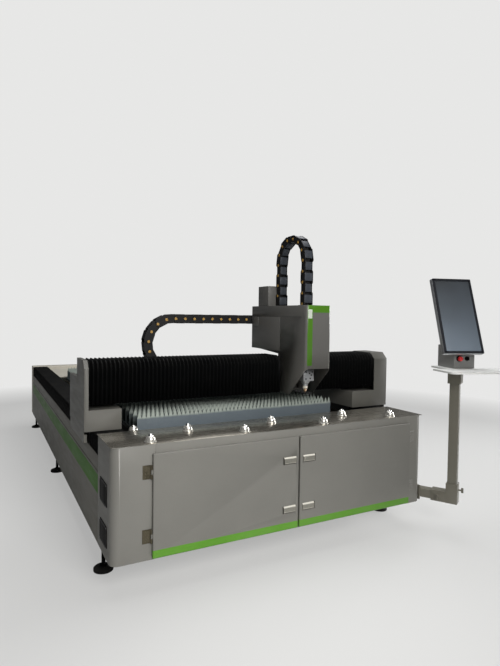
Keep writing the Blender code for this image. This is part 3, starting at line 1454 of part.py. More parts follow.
def make_console_head(height):
    """The tray with its collar on the post, turned about the post with the panel box and the screen."""
    head = carrier("console_head", (CONSOLE_X, CONSOLE_Y, TRAY_LOW), height)
    head.rotation_euler.z = HEAD_TURN
    left = CONSOLE_X + TRAY_LEFT
    right = left + TRAY_WIDTH
    front = CONSOLE_Y + TRAY_FRONT
    tail_left = CONSOLE_X + TRAY_TAIL_LEFT
    tail_right = tail_left + TRAY_TAIL_WIDTH
    tail_rear = CONSOLE_Y + PANEL_BOX_FRONT + PANEL_BOX_DEPTH
    r = TRAY_CORNER
    plan = [
        *arc((left + r, front + r), r, 180, 270, 5),
        *arc((right - r, front + r), r, 270, 360, 5),
        (right, CONSOLE_Y),
        (tail_right, CONSOLE_Y),
        (tail_right, tail_rear),
        (tail_left, tail_rear),
        (tail_left, CONSOLE_Y),
        (left, CONSOLE_Y),
    ]
    tray = outline("console_tray", plan, "XY", TRAY_LOW, TRAY_LOW + TRAY_THICKNESS, "white_paint", head)
    collar_half = TUBE / 2 + COLLAR_WALL
    collar = box(
        "tray_collar",
        (CONSOLE_X - collar_half, CONSOLE_Y - collar_half, POST_TOP - COLLAR_LENGTH),
        (CONSOLE_X + collar_half, CONSOLE_Y + collar_half, TRAY_LOW + TRAY_THICKNESS / 2),
        on=head,
        turn=CONSOLE_TURN - HEAD_TURN,
    )
    fit = TUBE / 2 + SOCKET_FIT
    collar_bore = box(
        "collar_bore",
        (CONSOLE_X - fit, CONSOLE_Y - fit, POST_TOP - 2 * COLLAR_LENGTH),
        (CONSOLE_X + fit, CONSOLE_Y + fit, POST_TOP + CLEAR),
        on=head,
        turn=CONSOLE_TURN - HEAD_TURN,
    )
    join(tray, collar)
    cut(tray, collar_bore)

    low = TRAY_LOW + TRAY_THICKNESS + CLEAR
    box_left = CONSOLE_X + PANEL_BOX_LEFT
    box_front = CONSOLE_Y + PANEL_BOX_FRONT
    top = low + PANEL_BOX_HEIGHT
    panel = box(
        "console_box",
        (box_left, box_front, low),
        (box_left + PANEL_BOX_WIDTH, box_front + PANEL_BOX_DEPTH, top),
        "silver",
        head,
        edge=0.004,
    )
    face = box_front - CLEAR
    button_z = low + BUTTON_RISE
    stop_x = CONSOLE_X + STOP_OFFSET
    push = carrier("stop_push", (stop_x, face, button_z), head)
    stop = cylinder("emergency_stop", (stop_x, face - 0.034, button_z), STOP_RADIUS, 0.024, "Y", "red_plastic", push)
    stem = cylinder("stop_stem", (stop_x, face - 0.012, button_z), STOP_STEM, 0.013, "Y", on=push)
    join(stop, stem)
    stop_bore = cylinder(
        "stop_bore", (stop_x, face - 0.01, button_z), STOP_STEM + LATCH_FIT / 2, 0.012 + STOP_TRAVEL, "Y", on=head
    )
    cut(panel, stop_bore)
    key_x = CONSOLE_X + KEY_OFFSET
    turn = carrier("key_turn", (key_x, face, button_z), head)
    key = cylinder("key_switch", (key_x, face - 0.014, button_z), KEY_RADIUS, 0.014, "Y", "black_plastic", turn)
    grip = box(
        "key_grip",
        (key_x - 0.003, face - 0.030, button_z - KEY_RADIUS),
        (key_x + 0.003, face - 0.010, button_z + KEY_RADIUS),
        on=turn,
    )
    join(key, grip)
    make_monitor(head, top)


def make_monitor(head, box_top):
    """The upright screen that leans back over the panel box, on its stand."""
    left = CONSOLE_X + MONITOR_LEFT
    foot = Vector((left, CONSOLE_Y + MONITOR_FRONT, MONITOR_LOW))
    tilt = carrier("monitor_tilt", foot, head)
    tilt.rotation_euler.x = MONITOR_LEAN
    front, low = foot.y, foot.z
    screen = box(
        "monitor",
        foot,
        (left + MONITOR_WIDTH, front + MONITOR_THICKNESS, low + MONITOR_HEIGHT),
        "silver",
        tilt,
        edge=0.004,
    )
    glass = box(
        "screen_recess",
        (left + MONITOR_BEZEL, front - 0.02, low + MONITOR_BEZEL),
        (left + MONITOR_WIDTH - MONITOR_BEZEL, front + SCREEN_DEPTH, low + MONITOR_HEIGHT - MONITOR_BEZEL),
        on=tilt,
    )
    middle = left + MONITOR_WIDTH / 2
    stand_front = CONSOLE_Y + PANEL_BOX_FRONT + 0.006
    stand = box(
        "monitor_stand",
        (middle - STAND_WIDTH / 2, stand_front, box_top + CLEAR),
        (middle + STAND_WIDTH / 2, stand_front + STAND_DEPTH, box_top + STAND_HEIGHT),
        on=head,
    )
    join(screen, stand)
    cut(screen, glass)


make_cabinet()
make_grille("vent_grille_upper", GRILLE_UPPER_LOW, GRILLE_UPPER_HEIGHT)
make_grille("vent_grille_lower", GRILLE_LOWER_LOW, GRILLE_LOWER_HEIGHT)
make_cabinet_contents()
make_door("left")
make_door("right")
make_bed()
make_feet()
make_slat_table()
make_rails()
gantry_slide = make_gantry()
carriage_slide = carrier("carriage_slide", (HEAD_LEFT + HEAD_WIDTH / 2, BEAM_FRONT, BEAM_HIGH), gantry_slide)
make_head_cover(carriage_slide)
make_head_chain(carriage_slide)
make_lift(carriage_slide, *make_carriage(carriage_slide))
make_console()
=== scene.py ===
# %% [markdown]
# # A flatbed fibre laser cutting machine
# The solids of the machine come ready made, with their joints. This notebook dresses them: it gives every
# surface its finish and makes again, in finer form, the pieces whose look comes from detail, such as the
# bellows, the cable chains and the sawtooth blades.

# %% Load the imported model
import math

import bmesh
import bpy
from mathutils import Matrix, Vector


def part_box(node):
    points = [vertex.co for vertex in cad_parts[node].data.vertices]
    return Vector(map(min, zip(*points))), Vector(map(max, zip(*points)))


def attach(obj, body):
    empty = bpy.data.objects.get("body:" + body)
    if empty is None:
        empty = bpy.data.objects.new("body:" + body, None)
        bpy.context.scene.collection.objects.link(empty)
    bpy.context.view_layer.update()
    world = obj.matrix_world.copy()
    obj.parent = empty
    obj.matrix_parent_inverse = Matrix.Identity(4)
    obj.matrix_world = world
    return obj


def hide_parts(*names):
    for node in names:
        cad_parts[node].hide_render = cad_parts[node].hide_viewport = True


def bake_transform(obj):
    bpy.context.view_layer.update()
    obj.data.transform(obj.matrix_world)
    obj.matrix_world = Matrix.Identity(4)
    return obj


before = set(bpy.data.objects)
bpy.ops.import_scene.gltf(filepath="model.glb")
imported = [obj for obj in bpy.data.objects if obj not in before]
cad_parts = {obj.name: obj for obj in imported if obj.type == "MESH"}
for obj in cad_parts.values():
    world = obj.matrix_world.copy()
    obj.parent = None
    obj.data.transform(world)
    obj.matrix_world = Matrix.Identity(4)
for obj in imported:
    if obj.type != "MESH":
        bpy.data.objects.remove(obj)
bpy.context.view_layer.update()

# %% [markdown]
# ## One set of coordinates
# Each size on a machine like this is taken from a corner that a fitter can put a ruler on. Here that is the
# cabinet's front left corner on the floor. x runs right along the cabinet, y back along the bed, and z up.
# `at` turns such a point into the frame of the model, so that one origin serves every piece.

# %% Points from the cabinet's corner
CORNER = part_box("cabinet_left_panel")[0]
BED_WIDTH = 2.30


def at(x, y, z):
    """The model's point for a place measured from the cabinet's front left corner."""
    return Vector((CORNER.x + x, CORNER.y + y, z))


def from_corner(node):
    """Lowest and highest corner of a node, measured from the cabinet's corner."""
    low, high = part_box(node)
    shift = Vector((CORNER.x, CORNER.y, 0))
    return low - shift, high - shift


print("corner at", tuple(round(c, 4) for c in CORNER))

# %% [markdown]
# ## The camera
# The photograph was taken standing, from in front of the cabinet's left end, with a phone held upright. Its
# place and turn came from matching edges of known size. A camera in Blender looks down its own -Z, so its
# matrix is built from three directions: right, up and backwards.

# %% Camera
CAMERA_PLACE = at(-0.6012, -2.6962, 1.5574)
CAMERA_YAW = 0.48864
CAMERA_PITCH = 0.03285
CAMERA_ROLL = -0.01356
FOCAL_PIXELS = 503
PHOTO_HEIGHT = 666
SENSOR = 36.0


def make_camera():
    forward = Vector((
        math.sin(CAMERA_YAW) * math.cos(CAMERA_PITCH),
        math.cos(CAMERA_YAW) * math.cos(CAMERA_PITCH),
        -math.sin(CAMERA_PITCH),
    ))
    level_right = Vector((math.cos(CAMERA_YAW), -math.sin(CAMERA_YAW), 0))
    level_down = forward.cross(level_right)
    right = math.cos(CAMERA_ROLL) * level_right + math.sin(CAMERA_ROLL) * level_down
    down = -math.sin(CAMERA_ROLL) * level_right + math.cos(CAMERA_ROLL) * level_down
    data = bpy.data.cameras.new("camera")
    data.sensor_width = SENSOR
    data.lens = SENSOR * FOCAL_PIXELS / PHOTO_HEIGHT
    data.clip_end = 200
    camera = bpy.data.objects.new("camera", data)
    bpy.context.scene.collection.objects.link(camera)
    turn = Matrix((right, -down, -forward)).transposed().to_4x4()
    camera.matrix_world = Matrix.Translation(CAMERA_PLACE) @ turn
    bpy.context.scene.camera = camera


make_camera()

# %% [markdown]
# ## Small tools for making shapes
# Most of the machine is folded sheet, block and turned metal, so three makers cover it: a block whose edges
# are rounded, a flat outline drawn out to a thickness, and a profile spun about an axis. Each works in a
# bmesh, Blender's editable mesh, and `copy_in` places a finished shape as often as it is needed. `sink`
# presses the middle of a face in, as on a frame or a handle.

# %% Shape makers
ACROSS_YZ = Matrix(((0, 0, 1, 0), (1, 0, 0, 0), (0, 1, 0, 0), (0, 0, 0, 1)))
ACROSS_XZ = Matrix(((1, 0, 0, 0), (0, 0, -1, 0), (0, 1, 0, 0), (0, 0, 0, 1)))
TO_FRONT = Matrix.Rotation(math.pi / 2, 4, "X")
TO_LEFT = Matrix.Rotation(-math.pi / 2, 4, "Y")


def move(bm, matrix):
    bmesh.ops.transform(bm, matrix=matrix, verts=bm.verts)


def round_edges(bm, edges, offset, segments=2, clamp=False):
    bmesh.ops.bevel(
        bm, geom=edges, offset=offset, segments=segments, profile=0.5, affect="EDGES", material=-1,
        clamp_overlap=clamp,
    )


def add_block(bm, low, high, edge=0.0, segments=2):
    """A block between two corners, with rounded edges if asked."""
    low, high = Vector(low), Vector(high)
    made = bmesh.ops.create_cube(bm, size=1.0)["verts"]
    bmesh.ops.scale(bm, vec=high - low, verts=made)
    bmesh.ops.translate(bm, vec=(low + high) / 2, verts=made)
    if edge:
        round_edges(bm, list(dict.fromkeys(e for v in made for e in v.link_edges)), edge, segments)


def drawn_out(points, depth):
    """A flat outline in x and y, drawn out along z."""
    bm = bmesh.new()
    face = bm.faces.new([bm.verts.new((u, v, 0)) for u, v in points])
    made = bmesh.ops.extrude_face_region(bm, geom=[face])["geom"]
    bmesh.ops.translate(bm, vec=(0, 0, depth), verts=[g for g in made if isinstance(g, bmesh.types.BMVert)])
    bmesh.ops.recalc_face_normals(bm, faces=bm.faces)
    return bm


def spun(profile, steps=32):
    """A profile of radius and height, spun once about z, as a mesh that can be copied in many times."""
    bm = bmesh.new()
    line = [bm.verts.new((radius, 0, height)) for radius, height in profile]
    edges = [bm.edges.new(pair) for pair in zip(line, line[1:])]
    bmesh.ops.spin(
        bm, geom=line + edges, cent=(0, 0, 0), axis=(0, 0, 1), angle=2 * math.pi, steps=steps, use_merge=True
    )
    bmesh.ops.remove_doubles(bm, verts=bm.verts, dist=0.00001)
    bmesh.ops.recalc_face_normals(bm, faces=bm.faces)
    return as_mesh(bm)


def as_mesh(bm):
    """A bmesh as a mesh that can be copied in many times."""
    mesh = bpy.data.meshes.new("shape")
    bm.to_mesh(mesh)
    bm.free()
    return mesh


def copy_in(bm, mesh, matrix, finish=None):
    """Adds a copy of a mesh at a place. Its faces keep their finishes, or all take one of the piece's."""
    before_verts, before_faces = len(bm.verts), len(bm.faces)
    bm.from_mesh(mesh)
    bm.verts.ensure_lookup_table()
    bm.faces.ensure_lookup_table()
    bmesh.ops.transform(bm, matrix=matrix, verts=bm.verts[before_verts:])
    if finish is not None:
        for face in bm.faces[before_faces:]:
            face.material_index = finish


def sink(bm, way, least_area, rim, bend, depth):
    """Sinks the middle of the large flat face that looks one way, and leaves a rim round it."""
    for thickness, drop in ((rim, 0.0), (bend, depth)):
        face = [f for f in bm.faces if f.normal.dot(Vector(way)) > 0.9 and f.calc_area() > least_area]
        bmesh.ops.inset_region(bm, faces=face, thickness=thickness, depth=drop)


def rounded_outline(width, height, radius, steps=5):
    """A rectangle with round corners about the origin."""
    points = []
    for k, (sx, sy) in enumerate(((1, 1), (-1, 1), (-1, -1), (1, -1))):
        for i in range(steps + 1):
            angle = math.radians(90 * k + 90 * i / steps)
            points.append((
                sx * (width / 2 - radius) + radius * math.cos(angle),
                sy * (height / 2 - radius) + radius * math.sin(angle),
            ))
    return points


def make_piece(name, bm, finishes, body=None, stands_for=(), smooth=30):
    """Turns a bmesh into a piece of the machine that rides on a body."""
    mesh = bpy.data.meshes.new(name)
    bm.to_mesh(mesh)
    bm.free()
    obj = bpy.data.objects.new(name, mesh)
    bpy.context.scene.collection.objects.link(obj)
    for finish in finishes if isinstance(finishes, list) else [finishes]:
        mesh.materials.append(finish)
    mesh.shade_smooth()
    mesh.set_sharp_from_angle(angle=math.radians(smooth))
    if body:
        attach(obj, body)
    if stands_for:
        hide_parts(*stands_for)
    return obj


# %% [markdown]
# ## A finer copy of a folded part
# The solids are faceted and have knife edges, but a folded or milled part has small round ones that catch the
# light. The solid's own mesh stays as it is. A copy is merged, its flat faces are made one again, its long
# sharp edges are rounded, and the copy is shown in its place.

# %% Rounded copies of solids
LONG_EDGE = 0.03
SHARP = math.radians(40)


def rounded_copy(node, finish, body, edge=0.0015):
    bm = bmesh.new()
    bm.from_mesh(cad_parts[node].data)
    bmesh.ops.remove_doubles(bm, verts=bm.verts, dist=0.00002)
    bmesh.ops.dissolve_limit(bm, angle_limit=math.radians(1), verts=bm.verts, edges=bm.edges)
    if edge:
        sharp = [e for e in bm.edges if len(e.link_faces) == 2 and e.calc_length() > LONG_EDGE]
        sharp = [e for e in sharp if e.calc_face_angle() > SHARP]
        round_edges(bm, sharp, edge, clamp=True)
    return make_piece(f"{node}_skin", bm, finish, body, [node])


# %% [markdown]
# ## Shared surface effects
# Paint, brushed steel and cloth each need a pattern that more than one material uses. A node group holds such
# an effect once. It puts out only colours, masks and normals, and each material keeps its own shader.

# %% A maker of node groups


def new_group(name, inputs, outputs):
    """A shader node group with named sockets, and its input and output nodes."""
    group = bpy.data.node_groups.new(name, "ShaderNodeTree")
    for label, kind, value in inputs:
        socket = group.interface.new_socket(name=label, in_out="INPUT", socket_type=kind)
        if value is not None:
            socket.default_value = value
    for label, kind in outputs:
        group.interface.new_socket(name=label, in_out="OUTPUT", socket_type=kind)
    return group, group.nodes.new("NodeGroupInput").outputs, group.nodes.new("NodeGroupOutput").inputs


FLOAT, COLOUR, VECTOR = "NodeSocketFloat", "NodeSocketColor", "NodeSocketVector"


def put(tree, kind, links=(), **settings):
    """Adds a node, sets its settings and joins sockets into its inputs by name or number."""
    node = tree.nodes.new(kind)
    for key, value in settings.items():
        setattr(node, key, value)
    for key, value in dict(links).items():
        socket = node.inputs[key]
        if isinstance(value, bpy.types.NodeSocket):
            tree.links.new(value, socket)
        else:
            socket.default_value = value
    return node


def mixed(tree, factor, first, second):
    """Mixes two colours."""
    return put(tree, "ShaderNodeMix", {0: factor, 6: first, 7: second}, data_type="RGBA").outputs[2]


def calc(tree, operation, first, second=0.0, clamp=False):
    node = put(tree, "ShaderNodeMath", {0: first, 1: second}, operation=operation, use_clamp=clamp)
    return node.outputs[0]


def remap(tree, value, low, high, to_low, to_high):
    links = {"Value": value, "From Min": low, "From Max": high, "To Min": to_low, "To Max": to_high}
    return put(tree, "ShaderNodeMapRange", links).outputs["Result"]


def swing(tree, value, low, high):
    """Stretches the usual middle range of a noise to lie between two values."""
    return remap(tree, value, 0.3, 0.7, low, high)


def noise(tree, where, scale, detail):
    return put(tree, "ShaderNodeTexNoise", {"Vector": where, "Scale": scale, "Detail": detail}).outputs[0]


def relief(tree, height, strength, distance):
    """A normal that shows a fine height."""
    links = {"Strength": strength, "Distance": distance, "Height": height}
    return put(tree, "ShaderNodeBump", links).outputs[0]


def shaded(tree, colour, tone):
    """A colour made lighter or darker by a factor."""
    return put(tree, "ShaderNodeVectorMath", {0: colour, "Scale": tone}, operation="SCALE").outputs[0]


def apart(tree, vector):
    """The three parts of a vector."""
    return put(tree, "ShaderNodeSeparateXYZ", {0: vector}).outputs


def above(tree, value, limit):
    return calc(tree, "GREATER_THAN", value, limit)


def below(tree, value, limit):
    return calc(tree, "LESS_THAN", value, limit)


def both(tree, first, second):
    """Where two masks meet, or the product of two values."""
    return calc(tree, "MULTIPLY", first, second)


SURFACE = [("Colour", COLOUR), ("Roughness", FLOAT), ("Normal", VECTOR)]


def give(group, wanted, *sockets):
    """Joins an effect's colour, roughness and normal to its outputs."""
    for (label, kind), socket in zip(SURFACE, sockets):
        group.links.new(socket, wanted[label])


# %% [markdown]
# ### A band of another colour
# The green stripes are vinyl or paint with a clean edge. A band is where one coordinate lies between two
# values, which two comparisons give.

# %% Group: band


def make_band_group():
    group, given, wanted = new_group(
        "stripe_band",
        [("Value", FLOAT, 0.0), ("Low", FLOAT, 0.0), ("High", FLOAT, 1.0)],
        [("Mask", FLOAT)],
    )
    value = given["Value"]
    inside = both(group, above(group, value, given["Low"]), below(group, value, given["High"]))
    group.links.new(inside, wanted["Mask"])
    return group


BAND = make_band_group()

# %% [markdown]
# ### Powder paint
# Powder coat has a fine orange peel a millimetre or two across, and from a step away it is not quite one
# colour: it holds a little dust, most near the floor, and faint wipe marks that change its gloss.

# %% Group: powder paint
DUST = (0.33, 0.31, 0.27, 1)


def make_paint_group():
    group, given, wanted = new_group(
        "powder_paint",
        [("Vector", VECTOR, None), ("Colour", COLOUR, (0.2, 0.2, 0.2, 1)), ("Gloss", FLOAT, 0.42),
         ("Peel", FLOAT, 0.25)],
        SURFACE,
    )
    where = given["Vector"]
    cloud = noise(group, where, 2.2, 5.0)
    speck = noise(group, where, 260.0, 2.0)
    tone = both(group, swing(group, cloud, 0.94, 1.05), swing(group, speck, 0.975, 1.025))
    low = remap(group, apart(group, where)["Z"], 0.16, 0.36, 0.22, 0.0)
    patchy = remap(group, cloud, 0.35, 0.75, 0.2, 1.0)
    dusty = mixed(group, both(group, low, patchy), shaded(group, given["Colour"], tone), DUST)
    turned = {"Vector": where, "Scale": (1.5, 1.5, 9.0), "Rotation": (0.3, 0.2, 0.5)}
    wipe = noise(group, put(group, "ShaderNodeMapping", turned).outputs[0], 3.0, 3.0)
    rough = calc(group, "ADD", given["Gloss"], swing(group, wipe, -0.05, 0.07))
    peel = relief(group, noise(group, where, 620.0, 1.0), given["Peel"], 0.0006)
    give(group, wanted, dusty, rough, peel)
    return group


PAINT = make_paint_group()

# %% [markdown]
# ### Brushed and ground metal
# Rolled and brushed sheet has fine lines that all run one way. Noise stretched along one direction gives
# them, and they change both the gloss and the height by a very little.

# %% Group: brushed metal


def make_brushed_group():
    group, given, wanted = new_group(
        "brushed_metal",
        [("Vector", VECTOR, None), ("Colour", COLOUR, (0.6, 0.6, 0.6, 1)), ("Stretch", VECTOR, (1, 60, 60)),
         ("Gloss", FLOAT, 0.3), ("Depth", FLOAT, 0.2)],
        SURFACE,
    )
    lines = put(group, "ShaderNodeMapping", {"Vector": given["Vector"], "Scale": given["Stretch"]})
    grain = noise(group, lines.outputs[0], 9.0, 6.0)
    cloud = noise(group, given["Vector"], 3.1, 4.0)
    tone = both(group, swing(group, grain, 0.90, 1.06), swing(group, cloud, 0.93, 1.05))
    lined = both(group, calc(group, "SUBTRACT", grain, 0.5), 0.25)
    smear = both(group, calc(group, "SUBTRACT", cloud, 0.5), 0.12)
    rough = calc(group, "ADD", calc(group, "ADD", given["Gloss"], lined), smear, clamp=True)
    fine = relief(group, grain, given["Depth"], 0.0004)
    give(group, wanted, shaded(group, given["Colour"], tone), rough, fine)
    return group


BRUSHED = make_brushed_group()

# %% [markdown]
# ### Dust on black parts
# Black plastic, rubber and coated cloth show what settles on them. Faces that look up hold more of it, so the
# mask mixes noise with how far the surface faces upwards.

# %% Group: settled dust


def make_dust_group():
    group, given, wanted = new_group(
        "settled_dust",
        [("Vector", VECTOR, None), ("Colour", COLOUR, (0.02, 0.02, 0.02, 1)), ("Dust", COLOUR, DUST),
         ("Amount", FLOAT, 0.2), ("Gloss", FLOAT, 0.55), ("Grain", FLOAT, 800.0), ("Depth", FLOAT, 0.2)],
        SURFACE,
    )
    up = apart(group, put(group, "ShaderNodeNewGeometry").outputs["Normal"])["Z"]
    lying = remap(group, up, 0.0, 1.0, 0.15, 1.0)
    patchy = remap(group, noise(group, given["Vector"], 7.0, 6.0), 0.35, 0.7, 0.25, 1.0)
    share = calc(group, "MULTIPLY", both(group, lying, patchy), given["Amount"], clamp=True)
    rough = calc(group, "ADD", given["Gloss"], both(group, share, 0.5), clamp=True)
    grain = noise(group, given["Vector"], given["Grain"], 2.0)
    colour = mixed(group, share, given["Colour"], given["Dust"])
    give(group, wanted, colour, rough, relief(group, grain, given["Depth"], 0.0005))
    return group


DUSTED = make_dust_group()

# %% [markdown]
# ## The finishes
# Colours were read off the photograph and are written here as screen values, so `screen` takes them back to
# the linear light that shaders use. Each finish is one material, with its effect group feeding one shader.

# %% Finish makers


def screen(red, green, blue):
    """A colour given in screen values from 0 to 255, as linear light."""
    linear = (((c / 255 + 0.055) / 1.055) ** 2.4 if c > 10 else c / 255 / 12.92 for c in (red, green, blue))
    return (*linear, 1.0)


def start_material(name, shine=0.5, **shader_values):
    """A material with its node tree, its shader and its object coordinates."""
    material = bpy.data.materials.new(name)
    material.use_nodes = True
    tree = material.node_tree
    shader = tree.nodes["Principled BSDF"]
    shader.inputs["Specular IOR Level"].default_value = shine
    for key, value in shader_values.items():
        shader.inputs[key.title()].default_value = value
    return material, tree, shader, tree.nodes.new("ShaderNodeTexCoord").outputs["Object"]


def use_group(tree, shader, group, where, **values):
    """Places an effect group and feeds the shader from it."""
    links = {"Vector": where} | {key.title(): value for key, value in values.items()}
    node = put(tree, "ShaderNodeGroup", links, node_tree=group)
    for label, target in (("Colour", "Base Color"), ("Roughness", "Roughness"), ("Normal", "Normal")):
        tree.links.new(node.outputs[label], shader.inputs[target])


def band(tree, value, low, high):
    return put(tree, "ShaderNodeGroup", {"Value": value, "Low": low, "High": high}, node_tree=BAND).outputs[0]


def painted(name, colour, stripe=None, gloss=0.42, peel=0.25, shine=0.5):
    """Powder paint. stripe(tree, x, y, z) gives the masks and colours of what is painted over it."""
    material, tree, shader, where = start_material(name, shine)
    shade = colour
    if stripe:
        for mask, over in stripe(tree, *apart(tree, where)[:3]):
            shade = mixed(tree, mask, shade, over)
    use_group(tree, shader, PAINT, where, colour=shade, gloss=gloss, peel=peel)
    return material


def brushed(name, colour, stretch, gloss=0.3, depth=0.2, metallic=1.0):
    material, tree, shader, where = start_material(name, metallic=metallic)
    use_group(tree, shader, BRUSHED, where, colour=colour, stretch=stretch, gloss=gloss, depth=depth)
    return material


def dusted(name, colour, amount=0.2, gloss=0.55, grain=800.0, depth=0.2, shine=0.5):
    material, tree, shader, where = start_material(name, shine)
    values = {"colour": colour, "amount": amount, "gloss": gloss, "grain": grain, "depth": depth}
    use_group(tree, shader, DUSTED, where, **values)
    return material


# %% [markdown]
# ## The painted finishes and their stripes
# The cabinet and bed are one mid grey, the head a darker one and the rear beam a pale beige. A bright green
# stripe runs along the foot of both doors, along each side of the bed, and over the front of the head.

# %% Painted finishes
GREEN = screen(84, 148, 14)
SIDE_GREEN = screen(72, 122, 20)
BED_GREEN = screen(60, 116, 10)
GREY = screen(124, 123, 118)
CONSOLE_GREY = screen(114, 111, 100)
BLOCK_PALE = screen(200, 208, 196)
# A painted highlight: lighter grey on the head's right front bend, where it would catch the light.
BEND_PAINTED_HIGHLIGHT = screen(146, 147, 145)
HEAD_INSIDE = screen(46, 45, 43)
DOOR_STRIPE = (0.192, 0.248)
BED_STRIPE = (0.490, 0.605)
BED_SKIN = 0.003
HEAD_FRONT, HEAD_RIGHT = 0.130, 1.540
HEAD_BEND = 0.008
HEAD_BAND_LOW = 1.590
HEAD_STRIPE = (1.345, 1.384)
HEAD_STRIPE_LOW = 1.227
INSIDE_TOP = 1.203
STRIPE_BLOCK = (1.550, 1.611)
STRIPE_BORDER = 0.004
COLLAR_TOP = 1.170
BEAM_UNSHADED_END = 0.2626


def door_stripe(tree, x, y, z):
    yield band(tree, z, *DOOR_STRIPE), GREEN


def bed_stripe(tree, x, y, z):
    """A stripe on the outer face of each side beam only."""
    aside = calc(tree, "ABSOLUTE", calc(tree, "SUBTRACT", x, at(BED_WIDTH / 2, 0, 0).x))
    yield both(tree, band(tree, z, *BED_STRIPE), above(tree, aside, BED_WIDTH / 2 - BED_SKIN)), BED_GREEN


def head_stripe(tree, x, y, z):
    """The column, the crown, the pale block, a painted highlight on the right bend and the dark inside there.
    """
    facing = below(tree, y, at(0, HEAD_FRONT + 0.004, 0).y)
    low, high = (at(value, 0, 0).x for value in HEAD_STRIPE)
    column = both(tree, band(tree, x, low, high), band(tree, z, HEAD_STRIPE_LOW, HEAD_BAND_LOW))
    yield both(tree, column, facing), SIDE_GREEN
    crown = both(tree, above(tree, z, HEAD_BAND_LOW), facing)
    yield both(tree, crown, above(tree, x, low)), SIDE_GREEN
    inner = band(tree, x, low + STRIPE_BORDER, high - STRIPE_BORDER)
    yield both(tree, both(tree, inner, band(tree, z, *STRIPE_BLOCK)), facing), BLOCK_PALE
    # Painted highlight: a lighter grey along the right front bend.
    bend_x = at(HEAD_RIGHT - HEAD_BEND, 0, 0).x
    front = below(tree, y, at(0, HEAD_FRONT + 2 * HEAD_BEND, 0).y)
    yield both(tree, above(tree, x, bend_x), front), BEND_PAINTED_HIGHLIGHT
    inside = band(tree, x, bend_x, at(HEAD_RIGHT - 0.001, 0, 0).x)
    yield both(tree, inside, below(tree, z, INSIDE_TOP)), HEAD_INSIDE


def tray_collar(tree, x, y, z):
    """The collar under the pale tray is painted like the post."""
    yield below(tree, z, COLLAR_TOP), CONSOLE_GREY


def beam_unshaded_end(tree, x, y, z):
    """The left end of the front beam stays grey; the rest is near black as painted shade."""
    yield below(tree, x, at(BEAM_UNSHADED_END, 0, 0).x), GREY


grey_paint = painted("grey_paint", GREY)
door_paint = painted("door_paint", screen(118, 117, 112), door_stripe)
bed_paint = painted("bed_paint", screen(114, 112, 105), bed_stripe, shine=0.25)
cover_paint = painted("cover_paint", screen(96, 95, 90))
head_paint = painted("head_paint", screen(99, 98, 95), head_stripe, gloss=0.36)
dark_paint = painted("dark_paint", screen(48, 47, 45))
# Painted shade: the front beam is near black, standing for the shadowed gap behind the top plate, but grey at
# its left end.
beam_painted_shade = painted("beam_painted_shade", screen(26, 26, 25), beam_unshaded_end, shine=0.2)
pale_paint = painted("pale_paint", screen(204, 199, 186), gloss=0.5)
console_paint = painted("console_paint", CONSOLE_GREY, gloss=0.36)
# The tray is near white: its pale paint made lighter still as a painted sheen on its top.
tray_paint_and_sheen = painted("tray_paint_and_sheen", screen(248, 249, 246), tray_collar, gloss=0.34)

# %% [markdown]
# ## Metals, plastics, cloth and glass
# The top plate is polished sheet with its lines running along it, the blades are bare cold rolled steel, and
# the balls are chrome in steel cups. The bellows are coated cloth, and the chains are moulded nylon with
# ochre pins.

# %% Other finishes
top_steel = brushed("top_steel", screen(166, 161, 150), (1, 90, 1), gloss=0.27, depth=0.10, metallic=0.9)
hinge_steel = brushed("hinge_steel", screen(96, 90, 74), (70.0, 70.0, 4.0), gloss=0.40, metallic=0.7)
latch_zinc = brushed("latch_zinc", screen(158, 156, 147), (30.0, 30.0, 8.0), gloss=0.36, metallic=0.75)
# A painted highlight: pale, nearly matt zinc for the bright top chamfer of the latches.
zinc_painted_highlight = brushed("zinc_painted_highlight", screen(222, 219, 208), (30.0, 30.0, 8.0), gloss=0.4, metallic=0.1)
zinc = brushed("zinc", screen(168, 171, 174), (20.0, 20.0, 20.0), gloss=0.40)
machined = brushed("machined", screen(176, 176, 174), (8.0, 8.0, 120.0), gloss=0.30, depth=0.3)
chrome = brushed("chrome", screen(232, 231, 228), (12.0, 12.0, 12.0), gloss=0.10, depth=0.04)
silver = brushed("silver", screen(188, 190, 192), (30.0, 6.0, 30.0), gloss=0.34, metallic=0.8)
panel_grey = painted("panel_grey", screen(124, 124, 122), gloss=0.38)
cup_steel = brushed("cup_steel", screen(214, 212, 206), (18.0, 18.0, 18.0), gloss=0.24, metallic=0.75)
copper = brushed("copper", screen(206, 176, 150), (20.0, 20.0, 60.0), gloss=0.28)
bellows_cloth = dusted(
    "bellows_cloth", screen(3, 4, 5), amount=0.028, gloss=0.62, grain=1400.0, depth=0.35, shine=0.08
)
chain_black = dusted("chain_black", screen(19, 19, 20), amount=0.05, gloss=0.50, grain=900.0, shine=0.25)
chain_bar = dusted("chain_bar", screen(58, 63, 71), amount=0.08, gloss=0.45, grain=900.0, shine=0.35)
pin_ochre = dusted("pin_ochre", screen(178, 140, 66), amount=0.08, gloss=0.45)
black_plastic = dusted("black_plastic", screen(10, 10, 10), amount=0.03, gloss=0.50, shine=0.15)
rubber = dusted("rubber", screen(22, 22, 23), amount=0.15, gloss=0.75, grain=500.0, depth=0.4, shine=0.25)
red_plastic = dusted("red_plastic", screen(200, 30, 34), amount=0.04, gloss=0.28, grain=300.0, depth=0.03)
bezel_black = dusted("bezel_black", screen(42, 44, 50), amount=0.05, gloss=0.32)
SCREEN_REFLECTION_FADE = (1.30, 1.90)


